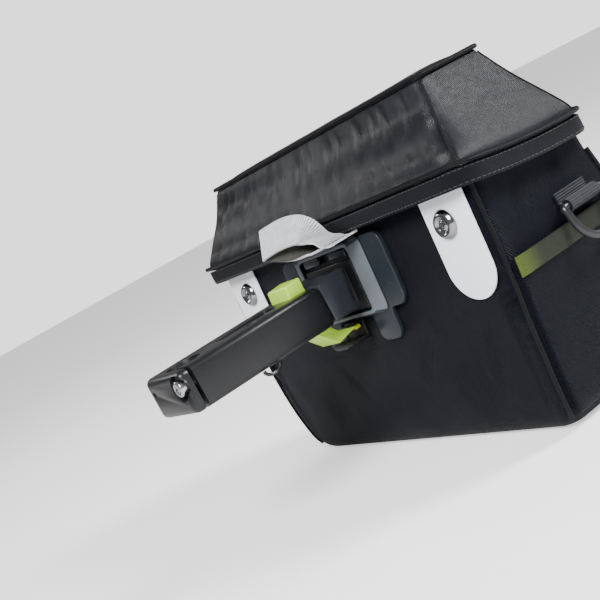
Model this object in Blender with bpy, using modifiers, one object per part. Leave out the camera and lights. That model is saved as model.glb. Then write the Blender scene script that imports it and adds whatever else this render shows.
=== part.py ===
# Handlebar bag on its click-in stem holder.
# Metres, +Z up along the steering axis, +Y forward; the origin is the middle of the bag's flat base.

import bmesh
import bpy
import math
from mathutils import Matrix, Vector

mm = 0.001
GAP = 0.3 * mm                     # between pieces that touch

# Bag body
BODY_HALF_WIDTH = 149 * mm
BODY_HALF_DEPTH = 50 * mm
BODY_HEIGHT = 172 * mm
BODY_CORNER = 10 * mm
CLOTH = 2.0 * mm                   # padded cloth wall of body and lid
BACK_TILT = math.radians(4.42)     # the back panel leans out towards its foot
BACK_Y = -42.2 * mm                # the back panel's place under the hem
GROOVE = 2.0 * mm                  # depth of a full fold in the cloth

# Lid
LID_HALF_WIDTH = 157 * mm
LID_HALF_DEPTH = 52.5 * mm
LID_CORNER = 20 * mm
LID_CORNER_LEAST = 8 * mm          # at the lid's top
LID_LAP = 11 * mm                  # from the body's rim down to the hem's top
HEM_TOP = BODY_HEIGHT - LID_LAP
HEM_HEIGHT = 11 * mm
HEM_WALL = 2.4 * mm
HEM_PROUD = 1.0 * mm
HEM_DROP = 9 * mm                  # the hem runs lower towards the front
HEM_SAG = 2.5 * mm
LID_RISE = 49 * mm                 # from the hem to the lid's top edge
LID_TOP = HEM_TOP + LID_RISE
LID_INSET = 27 * mm
LID_CROWN = 5 * mm
BACK_TOP = HEM_TOP - HEM_HEIGHT - GAP  # the back panel is flat up to here

# Piping
PIPING = 1.4 * mm                  # radius

# Side pocket and its green band
POCKET_WALL = 1.3 * mm
POCKET_BELLY = 1.4 * mm
BAND_WALL = 1.2 * mm

# White tabs and studs
TAB_WIDTH = 38.6 * mm
TAB_LENGTH = 62 * mm
TAB_WALL = 1.6 * mm
TAB_MIDDLE = 122 * mm
TAB_TOP = BACK_TOP - 2 * GAP
STUD_RADIUS = 8.2 * mm
STUD_HEIGHT = 3.2 * mm
STUD_DROP = 16 * mm                # below the tab's top
STUD_FROM_TAB = 3.5 * mm           # towards the middle of the bag

# D-rings
RING_WIRE = 2.4 * mm               # radius
RING_HALF = 15.6 * mm
RING_LEG = 7.4 * mm
RING_BAR_OUT = 6.4 * mm
RING_ABOVE_BAND = 7.8 * mm         # its bar above the green band
RING_MIDDLE = 18 * mm              # forward of the bag's middle
RING_LEAN = math.radians(15)
LOOP_WIDTH = 25 * mm
LOOP_WALL = 1.3 * mm
LOOP_TAIL = 8 * mm

# Stem holder; lengths run ahead from the axis of the stem tube
TUBE_RADIUS = 11.1 * mm
ARM_HALF = 25 * mm
ARM_REAR = 18 * mm                 # behind the stem's axis
ARM_REACH = 91.5 * mm
ARM_BOTTOM = -13 * mm
ARM_TOP = 13.5 * mm
ARM_EDGE = 3.0 * mm
ARM_WALL = 4.0 * mm
SLIT_FROM = 11 * mm                # behind the stem's axis
SLIT_WIDTH = 2.6 * mm
BOLT_X = 17.5 * mm
BOLT_Z = 4 * mm
BOLT_HEAD = 5 * mm                 # radius
BOLT_HEAD_DEEP = 4 * mm
BOLT_SHANK = 2.5 * mm
BOLT_REACH = 22 * mm
RECESS_RADIUS = 8 * mm
RECESS_DEEP = 3.6 * mm
SMALL_HOLE = 1.6 * mm               # radius
CHANNEL_HALF = 8 * mm
CHANNEL_DEEP = 5 * mm
CHANNEL_FROM_TUBE = 15.9 * mm
CHANNEL_FROM_BUTTON = 7.6 * mm
CUT_REACH = 40 * mm                # cutters run this far past the arm's middle
EYE_PLACE = 38 * mm                # ahead of the stem's axis
EYE_HALF = 6 * mm
EYE_DROP = 4 * mm
EYE_WIRE = 1.2 * mm                # radius

# Release slider
PRESS = 4 * mm
BUTTON_HALF = 12 * mm
BUTTON_FROM_END = 14.9 * mm        # its rear face behind the arm's end
BUTTON_REAR = ARM_REACH - BUTTON_FROM_END
BUTTON_LENGTH = 13.4 * mm
BUTTON_HEIGHT = 10.5 * mm
BUTTON_SUNK = 1.6 * mm
STEM_HALF = 5 * mm
STEM_LENGTH = 6 * mm
HOOK_HALF = 10 * mm
HOOK_FOOT = -26.5 * mm
HOOK_SLOPE = 12 * mm               # its rear face runs this far forward
HOOK_SHELF = 5 * mm                # its top runs this far ahead of the stem
HOOK_NOTCH = 9 * mm                # and its notch this far
HOOK_NOTCH_DEEP = 5 * mm
TONGUE_WALL = 2.6 * mm

# White pull strap, whose ends lie between the socket frame and the lid's hem
STRAP_WIDTH = 20 * mm
STRAP_WALL = 1.5 * mm
STRAP_ROOM = STRAP_WALL + 5 * GAP

# Head and mount plate, in the plane of the back panel; heights from the plate's centre
PLATE_WALL = 4 * mm
PLATE_HALF = 59 * mm
PLATE_TOP = 25 * mm
PLATE_FOOT = -23 * mm
LEG_INNER = 19.5 * mm
LEG_OUTER = 41 * mm
LEG_FOOT = -43 * mm
FRAME_DEEP = 4.2 * mm
FRAME_HALF = 41 * mm
FRAME_TOP = 27 * mm
FRAME_FOOT = -25 * mm
PLATE_HEIGHT = HEM_TOP - HEM_HEIGHT - STRAP_ROOM - FRAME_TOP
HEAD_RISE = 3 * mm                 # of the plate's centre above the arm's middle
ARM_HEIGHT = PLATE_HEIGHT - HEAD_RISE
HEAD_REACH = 34 * mm               # from the arm's end to the back panel
PLATE_Y = BACK_Y - (BACK_TOP - PLATE_HEIGHT) * math.tan(BACK_TILT)
STEM_Y = PLATE_Y - HEAD_REACH - ARM_REACH
RIM_WALL = 2.6 * mm
MOUTH_HALF = 29 * mm
MOUTH_TOP = 21.5 * mm
MOUTH_FOOT = -20.5 * mm
CATCH_INNER = 6 * mm
CATCH_WIDTH = 19 * mm
CATCH_DROP = 5 * mm
HEAD_INSET = 1.5 * mm
HEAD_PLATE = 3.2 * mm
HEAD_LENGTH = 20 * mm
LUG_HALF = 11 * mm
LUG_WALL = 2.8 * mm
LUG_REACH = 17 * mm
LUG_HOLD = HOOK_FOOT - PRESS - 4 * GAP - HEAD_RISE

# Body sections: share of BODY_HEIGHT, of BODY_HALF_WIDTH, and of BODY_HALF_DEPTH to the back and front;
# None where the flat back panel or the lid's inside sets it
BODY_SECTIONS = (
    (0.000, 0.850, 0.740, 0.740),
    (0.012, 0.888, 0.820, 0.830),
    (0.040, 0.918, 0.890, 0.925),
    (0.090, 0.942, 0.940, 1.000),
    (0.190, 0.962, 0.970, 1.065),
    (0.300, 0.978, 0.976, 1.105),
    (0.400, 0.988, 0.972, 1.120),
    (0.480, 0.994, None, 1.120),
    (0.530, 0.997, None, 1.115),
    (0.600, 1.000, None, 1.100),
    (0.680, 1.000, None, 1.070),
    (0.770, 0.998, None, 1.025),
    (BACK_TOP / BODY_HEIGHT, 0.994, None, 0.980),
    (0.940, None, None, None),
    (1.000, None, None, None),
)
# Rows of the table above where the pocket starts, its band starts and both end
POCKET_ROWS = (2, 9)
BAND_ROWS = (8, 9)
RING_BAR_HEIGHT = BODY_HEIGHT * BODY_SECTIONS[BAND_ROWS[1]][0] + RING_ABOVE_BAND

# Folds in the body: face, place across it, its half width, height, its half height, depth,
# as shares of the face, of BODY_HEIGHT and of GROOVE
BODY_FOLDS = (
    ("back", -0.985, 0.060, 0.42, 0.55, 1.1),
    ("back", 0.985, 0.060, 0.42, 0.55, 1.1),
    ("back", -0.52, 0.16, 0.22, 0.17, 0.9),
    ("back", 0.55, 0.15, 0.20, 0.17, 1.0),
    ("back", 0.05, 0.20, 0.17, 0.12, 0.6),
    ("front", -0.60, 0.15, 0.45, 0.35, 0.9),
    ("front", 0.62, 0.14, 0.52, 0.30, 0.8),
    ("front", 0.05, 0.22, 0.28, 0.22, 0.7),
    ("right", -0.35, 0.30, 0.74, 0.09, 0.7),
    ("left", 0.35, 0.30, 0.74, 0.09, 0.7),
    ("corner", 0.50, 0.45, 0.53, 0.045, 0.9),
    ("corner", 0.50, 0.45, 0.40, 0.060, 0.8),
)

# Lid rows: share of the rise from hem to top edge, and of LID_INSET
LID_ROWS = (
    (0.00, 0.000),
    (0.10, 0.045),
    (0.24, 0.190),
    (0.42, 0.400),
    (0.60, 0.620),
    (0.78, 0.810),
    (0.92, 0.940),
    (1.00, 1.000),
)
# The lid's crown: share of the half depth left, and of LID_CROWN
CROWN_ROWS = ((0.80, 0.50), (0.45, 0.90), (0.18, 1.00))
RIM_ROW_SHARE = 0.24

# Folds in the lid, as in BODY_FOLDS
LID_FOLDS = (
    ("back", -0.80, 0.07, 0.62, 0.34, 0.9),
    ("back", -0.56, 0.08, 0.72, 0.26, 0.7),
    ("back", -0.30, 0.09, 0.66, 0.30, 0.9),
    ("back", -0.02, 0.08, 0.74, 0.24, 0.8),
    ("back", 0.24, 0.10, 0.68, 0.30, 1.0),
    ("back", 0.50, 0.08, 0.74, 0.24, 0.8),
    ("back", 0.76, 0.08, 0.64, 0.32, 1.0),
    ("front", -0.55, 0.16, 0.66, 0.30, 0.8),
    ("front", 0.10, 0.18, 0.70, 0.28, 0.7),
    ("front", 0.66, 0.14, 0.64, 0.30, 0.8),
    ("right", 0.40, 0.35, 0.66, 0.25, 0.9),
    ("left", -0.40, 0.35, 0.66, 0.25, 0.9),
)

# Pull strap's middle line, from its right end round the fold at the left and back: shares of STRAP_REACH
# along, STRAP_OUT out from the seat and STRAP_RISE up, and the width's slope in degrees
STRAP_REACH = 48 * mm
STRAP_SEAT_Y = PLATE_Y - 14.5 * mm
STRAP_OUT = 10 * mm
STRAP_RISE = 18 * mm
STRAP_ROUTE = (
    (0.96, 0.00, 0.00, 0),
    (0.93, 0.06, 0.00, 0),
    (0.90, 0.26, 0.00, -1),
    (0.86, 0.58, 0.07, -4),
    (0.78, 0.64, 0.22, -9),
    (0.68, 0.74, 0.32, -10),
    (0.58, 0.75, 0.42, -4),
    (0.52, 0.77, 0.58, 10),
    (0.47, 0.87, 0.76, 28),
    (0.37, 1.02, 0.92, 45),
    (0.17, 1.14, 1.00, 56),
    (-0.07, 1.18, 1.00, 60),
    (-0.29, 1.19, 0.96, 62),
    (-0.46, 1.22, 0.92, 64),
    (-0.55, 1.18, 0.88, 66),
    (-0.51, 1.07, 0.82, 66),
    (-0.34, 1.02, 0.71, 63),
    (-0.14, 0.94, 0.57, 57),
    (0.10, 0.80, 0.40, 42),
    (0.33, 0.62, 0.21, 20),
    (0.49, 0.60, 0.07, 4),
    (0.57, 0.46, 0.00, 0),
    (0.62, 0.14, 0.00, 0),
    (0.70, 0.00, 0.00, 0),
)

CELLS_PANEL = 16                   # mesh cells across the wide faces
CELLS_SIDE = 6
CELLS_ARC = 4


def clear_scene():
    for old in list(bpy.data.objects):
        bpy.data.objects.remove(old, do_unlink=True)


def new_material(name, colour, roughness, metallic=0.0):
    material = bpy.data.materials.new(name)
    material.use_nodes = True
    shader = material.node_tree.nodes["Principled BSDF"]
    shader.inputs["Base Color"].default_value = (*colour, 1.0)
    shader.inputs["Roughness"].default_value = roughness
    shader.inputs["Metallic"].default_value = metallic
    return material


def add_part(name, data, material, location=(0, 0, 0), tilt=0.0):
    part = bpy.data.objects.new(name, data)
    part.location = location
    part.rotation_euler.x = tilt
    data.materials.append(material)
    parts.objects.link(part)
    return part


def mesh_from(name, build):
    bm = bmesh.new()
    build(bm)
    if all(len(edge.link_faces) == 2 for edge in bm.edges):
        bmesh.ops.recalc_face_normals(bm, faces=bm.faces)
    mesh = bpy.data.meshes.new(name)
    bm.to_mesh(mesh)
    bm.free()
    return mesh


def bump(distance):
    # Smooth hump: 1 in the middle, 0 from 1 outwards
    if abs(distance) >= 1:
        return 0.0
    return 0.5 + 0.5 * math.cos(math.pi * distance)


def fold_depth(folds, face, across, height):
    total = 0.0
    for where, middle, half, level, reach, depth in folds:
        if where == face:
            total += depth * bump((across - middle) / half) * bump((height - level) / reach)
    return total * GROOVE


def rounded_ring(half_width, half_depth, corner):
    # Columns of (x, y, outward normal, face, place across the face), counter-clockwise from the right
    columns = []
    faces = ("front", "left", "back", "right")
    for turn in range(4):
        start = math.radians(90 * turn)
        sign_x = 1 if turn in (0, 3) else -1
        sign_y = 1 if turn in (0, 1) else -1
        centre = Vector((sign_x * (half_width - corner), sign_y * (half_depth - corner)))
        for step in range(CELLS_ARC + 1):
            share = step / CELLS_ARC
            angle = start + math.radians(90) * share
            normal = Vector((math.cos(angle), math.sin(angle)))
            columns.append((centre + corner * normal, normal, "corner", share))
        face = faces[turn]
        cells = CELLS_PANEL if face in ("front", "back") else CELLS_SIDE
        length = 2 * ((half_width if face in ("front", "back") else half_depth) - corner)
        normal = Vector((math.cos(start + math.pi / 2), math.sin(start + math.pi / 2)))
        along = Vector((-normal.y, normal.x))
        first = columns[-1][0]
        for step in range(1, cells):
            share = step / cells
            spot = first + along * (length * share)
            across = spot.x / half_width if face in ("front", "back") else spot.y / half_depth
            columns.append((spot, normal, face, across))
    return columns


def hem_drop(y, half_depth):
    # The hem runs lower to the front and bows down between the corners
    share = min(max((y + half_depth) / (2 * half_depth), 0.0), 1.0)
    return HEM_DROP * share + HEM_SAG * math.sin(math.pi * share)


def loft(bm, rows, close_foot=False, close_top=False):
    rings = [[bm.verts.new(point) for point in row] for row in rows]
    count = len(rings[0])
    for low, high in zip(rings, rings[1:]):
        for i in range(count):
            j = (i + 1) % count
            bm.faces.new((low[i], low[j], high[j], high[i]))
    if close_foot:
        bm.faces.new(list(reversed(rings[0])))
    if close_top:
        bm.faces.new(rings[-1])


def patch(bm, rows):
    grid = [[bm.verts.new(point) for point in row] for row in rows]
    for low, high in zip(grid, grid[1:]):
        for i in range(len(low) - 1):
            bm.faces.new((low[i], low[i + 1], high[i + 1], high[i]))


def thicken(part, wall):
    solid = part.modifiers.new("wall", "SOLIDIFY")
    solid.thickness = wall
    solid.offset = -1
    return solid


def soften(part, width, segments=2, angle=40):
    bevel = part.modifiers.new("edges", "BEVEL")
    bevel.width = width
    bevel.segments = segments
    bevel.limit_method = "ANGLE"
    bevel.angle_limit = math.radians(angle)
    return bevel


def cut(part, cutter):
    cutter.hide_render = True
    cutter.display_type = "WIRE"
    boolean = part.modifiers.new("cut", "BOOLEAN")
    boolean.operation = "DIFFERENCE"
    boolean.object = cutter


def cutter_from(mesh):
    cutter = bpy.data.objects.new(mesh.name, mesh)
    cutters.objects.link(cutter)
    return cutter


def box_mesh(name, low, high):
    low, high = Vector(low), Vector(high)
    size = high - low
    place = Matrix.Translation((low + high) / 2) @ Matrix.Diagonal((*size, 1))
    return mesh_from(name, lambda bm: bmesh.ops.create_cube(bm, size=1, matrix=place))


def rod_mesh(name, radius, start, end, sides=24):
    start, end = Vector(start), Vector(end)
    axis = end - start
    turn = axis.to_track_quat("Z", "Y").to_matrix().to_4x4()
    place = Matrix.Translation((start + end) / 2) @ turn
    return mesh_from(name, lambda bm: bmesh.ops.create_cone(
        bm, cap_ends=True, segments=sides, radius1=radius, radius2=radius, depth=axis.length, matrix=place))


def tube(name, points, radius, material, cyclic=False, resolution=1, location=(0, 0, 0), tilt=0.0):
    curve = bpy.data.curves.new(name, "CURVE")
    curve.dimensions = "3D"
    curve.bevel_depth = radius
    curve.bevel_resolution = resolution
    curve.use_fill_caps = True
    spline = curve.splines.new("POLY")
    spline.points.add(len(points) - 1)
    for slot, point in zip(spline.points, points):
        slot.co = (*point, 1)
    spline.use_cyclic_u = cyclic
    return add_part(name, curve, material, location, tilt)


def rounded_outline(corners):
    # Corners of (x, z, radius, cells), counter-clockwise; each is rounded by an arc
    points = []
    count = len(corners)
    for i, (x, z, radius, cells) in enumerate(corners):
        here = Vector((x, z))
        before = (Vector(corners[i - 1][:2]) - here).normalized()
        after = (Vector(corners[(i + 1) % count][:2]) - here).normalized()
        half = before.angle(after) / 2
        reach = radius / math.tan(half)
        centre = here + (before + after).normalized() * (radius / math.sin(half))
        start = here + before * reach - centre
        end = here + after * reach - centre
        sweep = start.angle_signed(end)
        for step in range(cells + 1):
            angle = -sweep * step / cells
            arm = Vector((start.x * math.cos(angle) - start.y * math.sin(angle),
                          start.x * math.sin(angle) + start.y * math.cos(angle)))
            points.append(centre + arm)
    return points


def slab(bm, outline, near, far):
    # An x-z outline, counter-clockwise seen from the rear, given depth along y
    rows = [[(p.x, y, p.y) for p in outline] for y in (far, near)]
    loft(bm, rows, close_foot=True, close_top=True)


def back_y(z):
    # The flat stretch of the back panel
    return BACK_Y - (BACK_TOP - z) * math.tan(BACK_TILT)


def lid_inset(share):
    for (low, inset_low), (high, inset_high) in zip(LID_ROWS, LID_ROWS[1:]):
        if share <= high:
            return LID_INSET * (inset_low + (inset_high - inset_low) * (share - low) / (high - low))
    return LID_INSET


def body_section(row):
    # Height, half width, depth to the back, depth to the front and corner radius
    height, width, back, front = BODY_SECTIONS[row]
    z = BODY_HEIGHT * height
    if width is None:
        inset = lid_inset(RIM_ROW_SHARE) + 3 * GAP
        inset += CLOTH / math.cos(math.atan2(LID_INSET, LID_TOP - HEM_TOP))
        z = HEM_TOP + (LID_TOP - HEM_TOP) * RIM_ROW_SHARE - BODY_HEIGHT * (1 - height)
        return z, LID_HALF_WIDTH - inset, LID_HALF_DEPTH - inset, LID_HALF_DEPTH - inset, LID_CORNER
    back_depth = -back_y(z) if back is None else BODY_HALF_DEPTH * back
    return z, BODY_HALF_WIDTH * width, back_depth, BODY_HALF_DEPTH * front, BODY_CORNER


def body_columns(row):
    # Columns of (point, outward normal, face, place) on one row of the body's outer surface
    z, half_width, back_depth, front_depth, corner = body_section(row)
    height = BODY_SECTIONS[row][0]
    drop_share = max(0.0, (height - 0.7) / 0.3) * (1 - RIM_ROW_SHARE)
    columns = []
    for spot, normal, face, across in rounded_ring(half_width, back_depth, corner):
        here = spot - normal * fold_depth(BODY_FOLDS, face, across, height)
        y = here.y * front_depth / back_depth if here.y > 0 else here.y
        drop = hem_drop(spot.y, back_depth) * drop_share
        columns.append((Vector((here.x, y, z - drop)), Vector((normal.x, normal.y, 0)), face, across))
    return columns


def lid_ring(share, inset, proud=0.0):
    rise = LID_TOP - HEM_TOP
    ring = []
    corner = min(max(LID_CORNER - 0.5 * inset, LID_CORNER_LEAST), 0.8 * (LID_HALF_DEPTH - inset))
    for spot, normal, face, across in rounded_ring(
            LID_HALF_WIDTH - inset + proud, LID_HALF_DEPTH - inset + proud, corner):
        depth = fold_depth(LID_FOLDS, face, across, share)
        here = spot - normal * depth
        drop = hem_drop(spot.y, LID_HALF_DEPTH) * (1 - share)
        ring.append(Vector((here.x, here.y, HEM_TOP + rise * share - drop)))
    return ring


def make_body():
    rows = [[column[0] for column in body_columns(row)] for row in range(len(BODY_SECTIONS))]
    mesh = mesh_from("bag_body", lambda bm: loft(bm, rows, close_foot=True))
    thicken(add_part("bag_body", mesh, nylon), CLOTH)


def make_lid():
    rows = [lid_ring(share, LID_INSET * inset) for share, inset in LID_ROWS]
    top_half = LID_HALF_DEPTH - LID_INSET
    for left, rise in CROWN_ROWS:
        ring = lid_ring(1.0, LID_INSET + top_half * (1 - left))
        rows.append([point + Vector((0, 0, LID_CROWN * rise)) for point in ring])
    mesh = mesh_from("lid_shell", lambda bm: loft(bm, rows, close_top=True))
    thicken(add_part("lid_shell", mesh, lid_nylon), CLOTH)

    low = [point - Vector((0, 0, HEM_HEIGHT)) for point in lid_ring(0.0, 0.0, HEM_PROUD)]
    high = [point - Vector((0, 0, 3 * GAP)) for point in lid_ring(0.0, 0.0, HEM_PROUD)]
    mesh = mesh_from("lid_hem", lambda bm: loft(bm, [low, high]))
    thicken(add_part("lid_hem", mesh, binding), HEM_WALL)

    ridge = [point + Vector((0, 0, PIPING + GAP)) for point in lid_ring(0.0, 0.0, PIPING + GAP)]
    tube("hem_piping", ridge, PIPING, binding, cyclic=True)
    edge = [point + Vector((0, 0, PIPING + GAP)) for point in lid_ring(1.0, LID_INSET, 0.6 * PIPING)]
    tube("lid_top_piping", edge, PIPING, binding, cyclic=True)


def make_corner_piping():
    count = len(body_columns(0))
    arcs = [i for i in range(count) if body_columns(0)[i][2] == "corner"]
    quarter = CELLS_ARC + 1
    for turn, name in enumerate(("front_right", "front_left", "back_left", "back_right")):
        column = arcs[turn * quarter + CELLS_ARC // 2]
        points = []
        # The front pair stops lower, where the hem drops
        for row in range(2, len(BODY_SECTIONS) - (3 if turn < 2 else 2)):
            point, normal = body_columns(row)[column][:2]
            points.append(point + normal * (PIPING + 2 * GAP))
        tube("corner_piping_" + name, points, PIPING, binding)


def side_columns(row, side):
    face = "right" if side > 0 else "left"
    columns = body_columns(row)
    start = next(i for i, column in enumerate(columns) if column[2] == face)
    return [columns[(start + k) % len(columns)] for k in range(-2, CELLS_SIDE + 1)]


def side_patch(rows, side, stand):
    # stand(place across, share of the way up) is the distance from the body's surface
    grid = []
    for row in range(rows[0], rows[1] + 1):
        up = (row - rows[0]) / max(rows[1] - rows[0], 1)
        columns = side_columns(row, side)
        grid.append([point + normal * stand(k / (len(columns) - 1), up)
                     for k, (point, normal, face, across) in enumerate(columns)])
    return grid


def make_pocket(side, word):
    def pocket_stand(across, up):
        return GAP + POCKET_WALL + POCKET_BELLY * math.sin(math.pi * across) * up

    def band_stand(across, up):
        return GAP + BAND_WALL + pocket_stand(across, 1.0) + GAP

    grid = side_patch(POCKET_ROWS, side, pocket_stand)
    mesh = mesh_from("side_pocket_" + word, lambda bm: patch(bm, grid))
    thicken(add_part("side_pocket_" + word, mesh, nylon), POCKET_WALL)
    grid = side_patch(BAND_ROWS, side, band_stand)
    mesh = mesh_from("pocket_band_" + word, lambda bm: patch(bm, grid))
    thicken(add_part("pocket_band_" + word, mesh, green_web), BAND_WALL)


def ring_place(side):
    return Vector((side * (BODY_HALF_WIDTH + RING_BAR_OUT), RING_MIDDLE, RING_BAR_HEIGHT))


def make_ring(side, word):
    # The D hangs from its straight bar, which lies along y at the object's origin
    lean = Vector((side * math.sin(RING_LEAN), 0, -math.cos(RING_LEAN)))
    points = []
    for y in (-1, -0.5, 0, 0.5, 1):
        points.append(Vector((0, y * RING_HALF, 0)))
    steps = 10
    for step in range(steps + 1):
        angle = math.pi * step / steps
        points.append(Vector((0, RING_HALF * math.cos(angle), 0))
                      + lean * (RING_LEG + RING_HALF * math.sin(angle)))
    tube("d_ring_" + word, points, RING_WIRE, steel_black, cyclic=True, location=ring_place(side))

    # The webbing runs down from its seam, round the bar and back up behind it
    inner = RING_WIRE + GAP
    path = [Vector((-(RING_BAR_OUT - GAP - LOOP_WALL), LOOP_TAIL))]
    for step in range(9):
        angle = math.radians(150 - 285 * step / 8)
        path.append(Vector((math.cos(angle), math.sin(angle))) * (inner + LOOP_WALL))
    rows = []
    for y in (-LOOP_WIDTH / 2, LOOP_WIDTH / 2):
        rows.append([(side * p.x, y, p.y) for p in path])
    mesh = mesh_from("ring_loop_" + word, lambda bm: patch(bm, rows))
    loop = add_part("ring_loop_" + word, mesh, dark_web, location=ring_place(side))
    wall = thicken(loop, LOOP_WALL)
    wall.offset = 1 if side < 0 else -1


def make_tab(side, word):
    half = TAB_WIDTH / 2
    outline = rounded_outline((
        (-half, -TAB_LENGTH, half * 0.92, 7), (half, -TAB_LENGTH, half * 0.92, 7),
        (half, 0, 1 * mm, 1), (-half, 0, 1 * mm, 1)))
    mesh = mesh_from("tab_" + word, lambda bm: slab(bm, outline, -GAP - TAB_WALL, -GAP))
    place = (side * TAB_MIDDLE, back_y(TAB_TOP), TAB_TOP)
    add_part("tab_" + word, mesh, white_plastic, place, -BACK_TILT)

    # Stud: a turned dome with a shallow socket; radius and height as shares
    profile = ((0.0, 0.72), (0.16, 0.72), (0.22, 0.95), (0.50, 0.90), (0.78, 0.66), (0.94, 0.30), (1.0, 0.0))
    bm = bmesh.new()
    verts = [bm.verts.new((r * STUD_RADIUS, 0, h * STUD_HEIGHT)) for r, h in profile]
    verts.append(bm.verts.new((0, 0, 0)))
    for a, b in zip(verts, verts[1:]):
        bm.edges.new((a, b))
    mesh = bpy.data.meshes.new("stud_" + word)
    bm.to_mesh(mesh)
    bm.free()
    z = TAB_TOP - STUD_DROP
    out = TAB_WALL + 2 * GAP
    place = Vector((side * (TAB_MIDDLE - STUD_FROM_TAB), back_y(z) - out * math.cos(BACK_TILT), z))
    stud = add_part("stud_" + word, mesh, chrome, place, math.radians(90) - BACK_TILT)
    screw = stud.modifiers.new("turn", "SCREW")
    screw.steps = screw.render_steps = 20
    screw.use_merge_vertices = True
    screw.merge_threshold = 0.00002


def plate_place():
    return Vector((0, PLATE_Y, PLATE_HEIGHT))


def make_plate():
    corner = 7 * mm
    outline = rounded_outline((
        (-PLATE_HALF, PLATE_FOOT, corner, 3), (-LEG_OUTER, PLATE_FOOT, 3 * mm, 2),
        (-LEG_OUTER, LEG_FOOT, 6 * mm, 4), (-LEG_INNER, LEG_FOOT, 6 * mm, 4),
        (-LEG_INNER, PLATE_FOOT, 3 * mm, 2), (LEG_INNER, PLATE_FOOT, 3 * mm, 2),
        (LEG_INNER, LEG_FOOT, 6 * mm, 4), (LEG_OUTER, LEG_FOOT, 6 * mm, 4),
        (LEG_OUTER, PLATE_FOOT, 3 * mm, 2), (PLATE_HALF, PLATE_FOOT, corner, 3),
        (PLATE_HALF, PLATE_TOP, corner, 3), (-PLATE_HALF, PLATE_TOP, corner, 3)))
    mesh = mesh_from("mount_plate", lambda bm: slab(bm, outline, -GAP - PLATE_WALL, -GAP))
    add_part("mount_plate", mesh, slate_plastic, plate_place(), -BACK_TILT)

    def rect(half, foot, top, radius, y):
        spots = rounded_outline(((-half, foot, radius, 4), (half, foot, radius, 4),
                                 (half, top, radius, 4), (-half, top, radius, 4)))
        return [(p.x, y, p.y) for p in spots]

    base = -GAP - PLATE_WALL - GAP
    rim = base - FRAME_DEEP
    rings = [
        rect(FRAME_HALF, FRAME_FOOT, FRAME_TOP, 6 * mm, base),
        rect(MOUTH_HALF + RIM_WALL, MOUTH_FOOT - RIM_WALL, MOUTH_TOP + RIM_WALL, 5 * mm, rim),
        rect(MOUTH_HALF, MOUTH_FOOT, MOUTH_TOP, 3 * mm, rim),
        rect(MOUTH_HALF, MOUTH_FOOT, MOUTH_TOP, 3 * mm, base),
    ]
    mesh = mesh_from("socket_frame", lambda bm: loft(bm, rings + rings[:1]))
    frame = add_part("socket_frame", mesh, slate_plastic, plate_place(), -BACK_TILT)
    weld = frame.modifiers.new("weld", "WELD")
    weld.merge_threshold = 0.00001

    for side, word in ((1, "right"), (-1, "left")):
        a, b = side * CATCH_INNER, side * (CATCH_INNER + CATCH_WIDTH)
        low = (min(a, b), rim + 0.6 * mm, MOUTH_TOP - GAP - CATCH_DROP)
        high = (max(a, b), base - 0.8 * mm, MOUTH_TOP - GAP)
        mesh = box_mesh("socket_catch_" + word, low, high)
        catch = add_part("socket_catch_" + word, mesh, slate_plastic, plate_place(), -BACK_TILT)
        soften(catch, 0.8 * mm)


def make_lug():
    # A lip below the socket frame that guards the hook
    base = -GAP - PLATE_WALL - GAP
    top = FRAME_FOOT - GAP
    foot = LUG_HOLD - LUG_WALL
    near = base - LUG_REACH
    outline = ((base, foot), (base, top), (base - LUG_WALL, top), (base - LUG_WALL, LUG_HOLD),
               (near, LUG_HOLD), (near, foot))
    rows = [[(x, y, z) for y, z in outline] for x in (LUG_HALF, -LUG_HALF)]
    mesh = mesh_from("socket_lip", lambda bm: loft(bm, rows, close_foot=True, close_top=True))
    add_part("socket_lip", mesh, black_plastic, plate_place(), -BACK_TILT)


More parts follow.
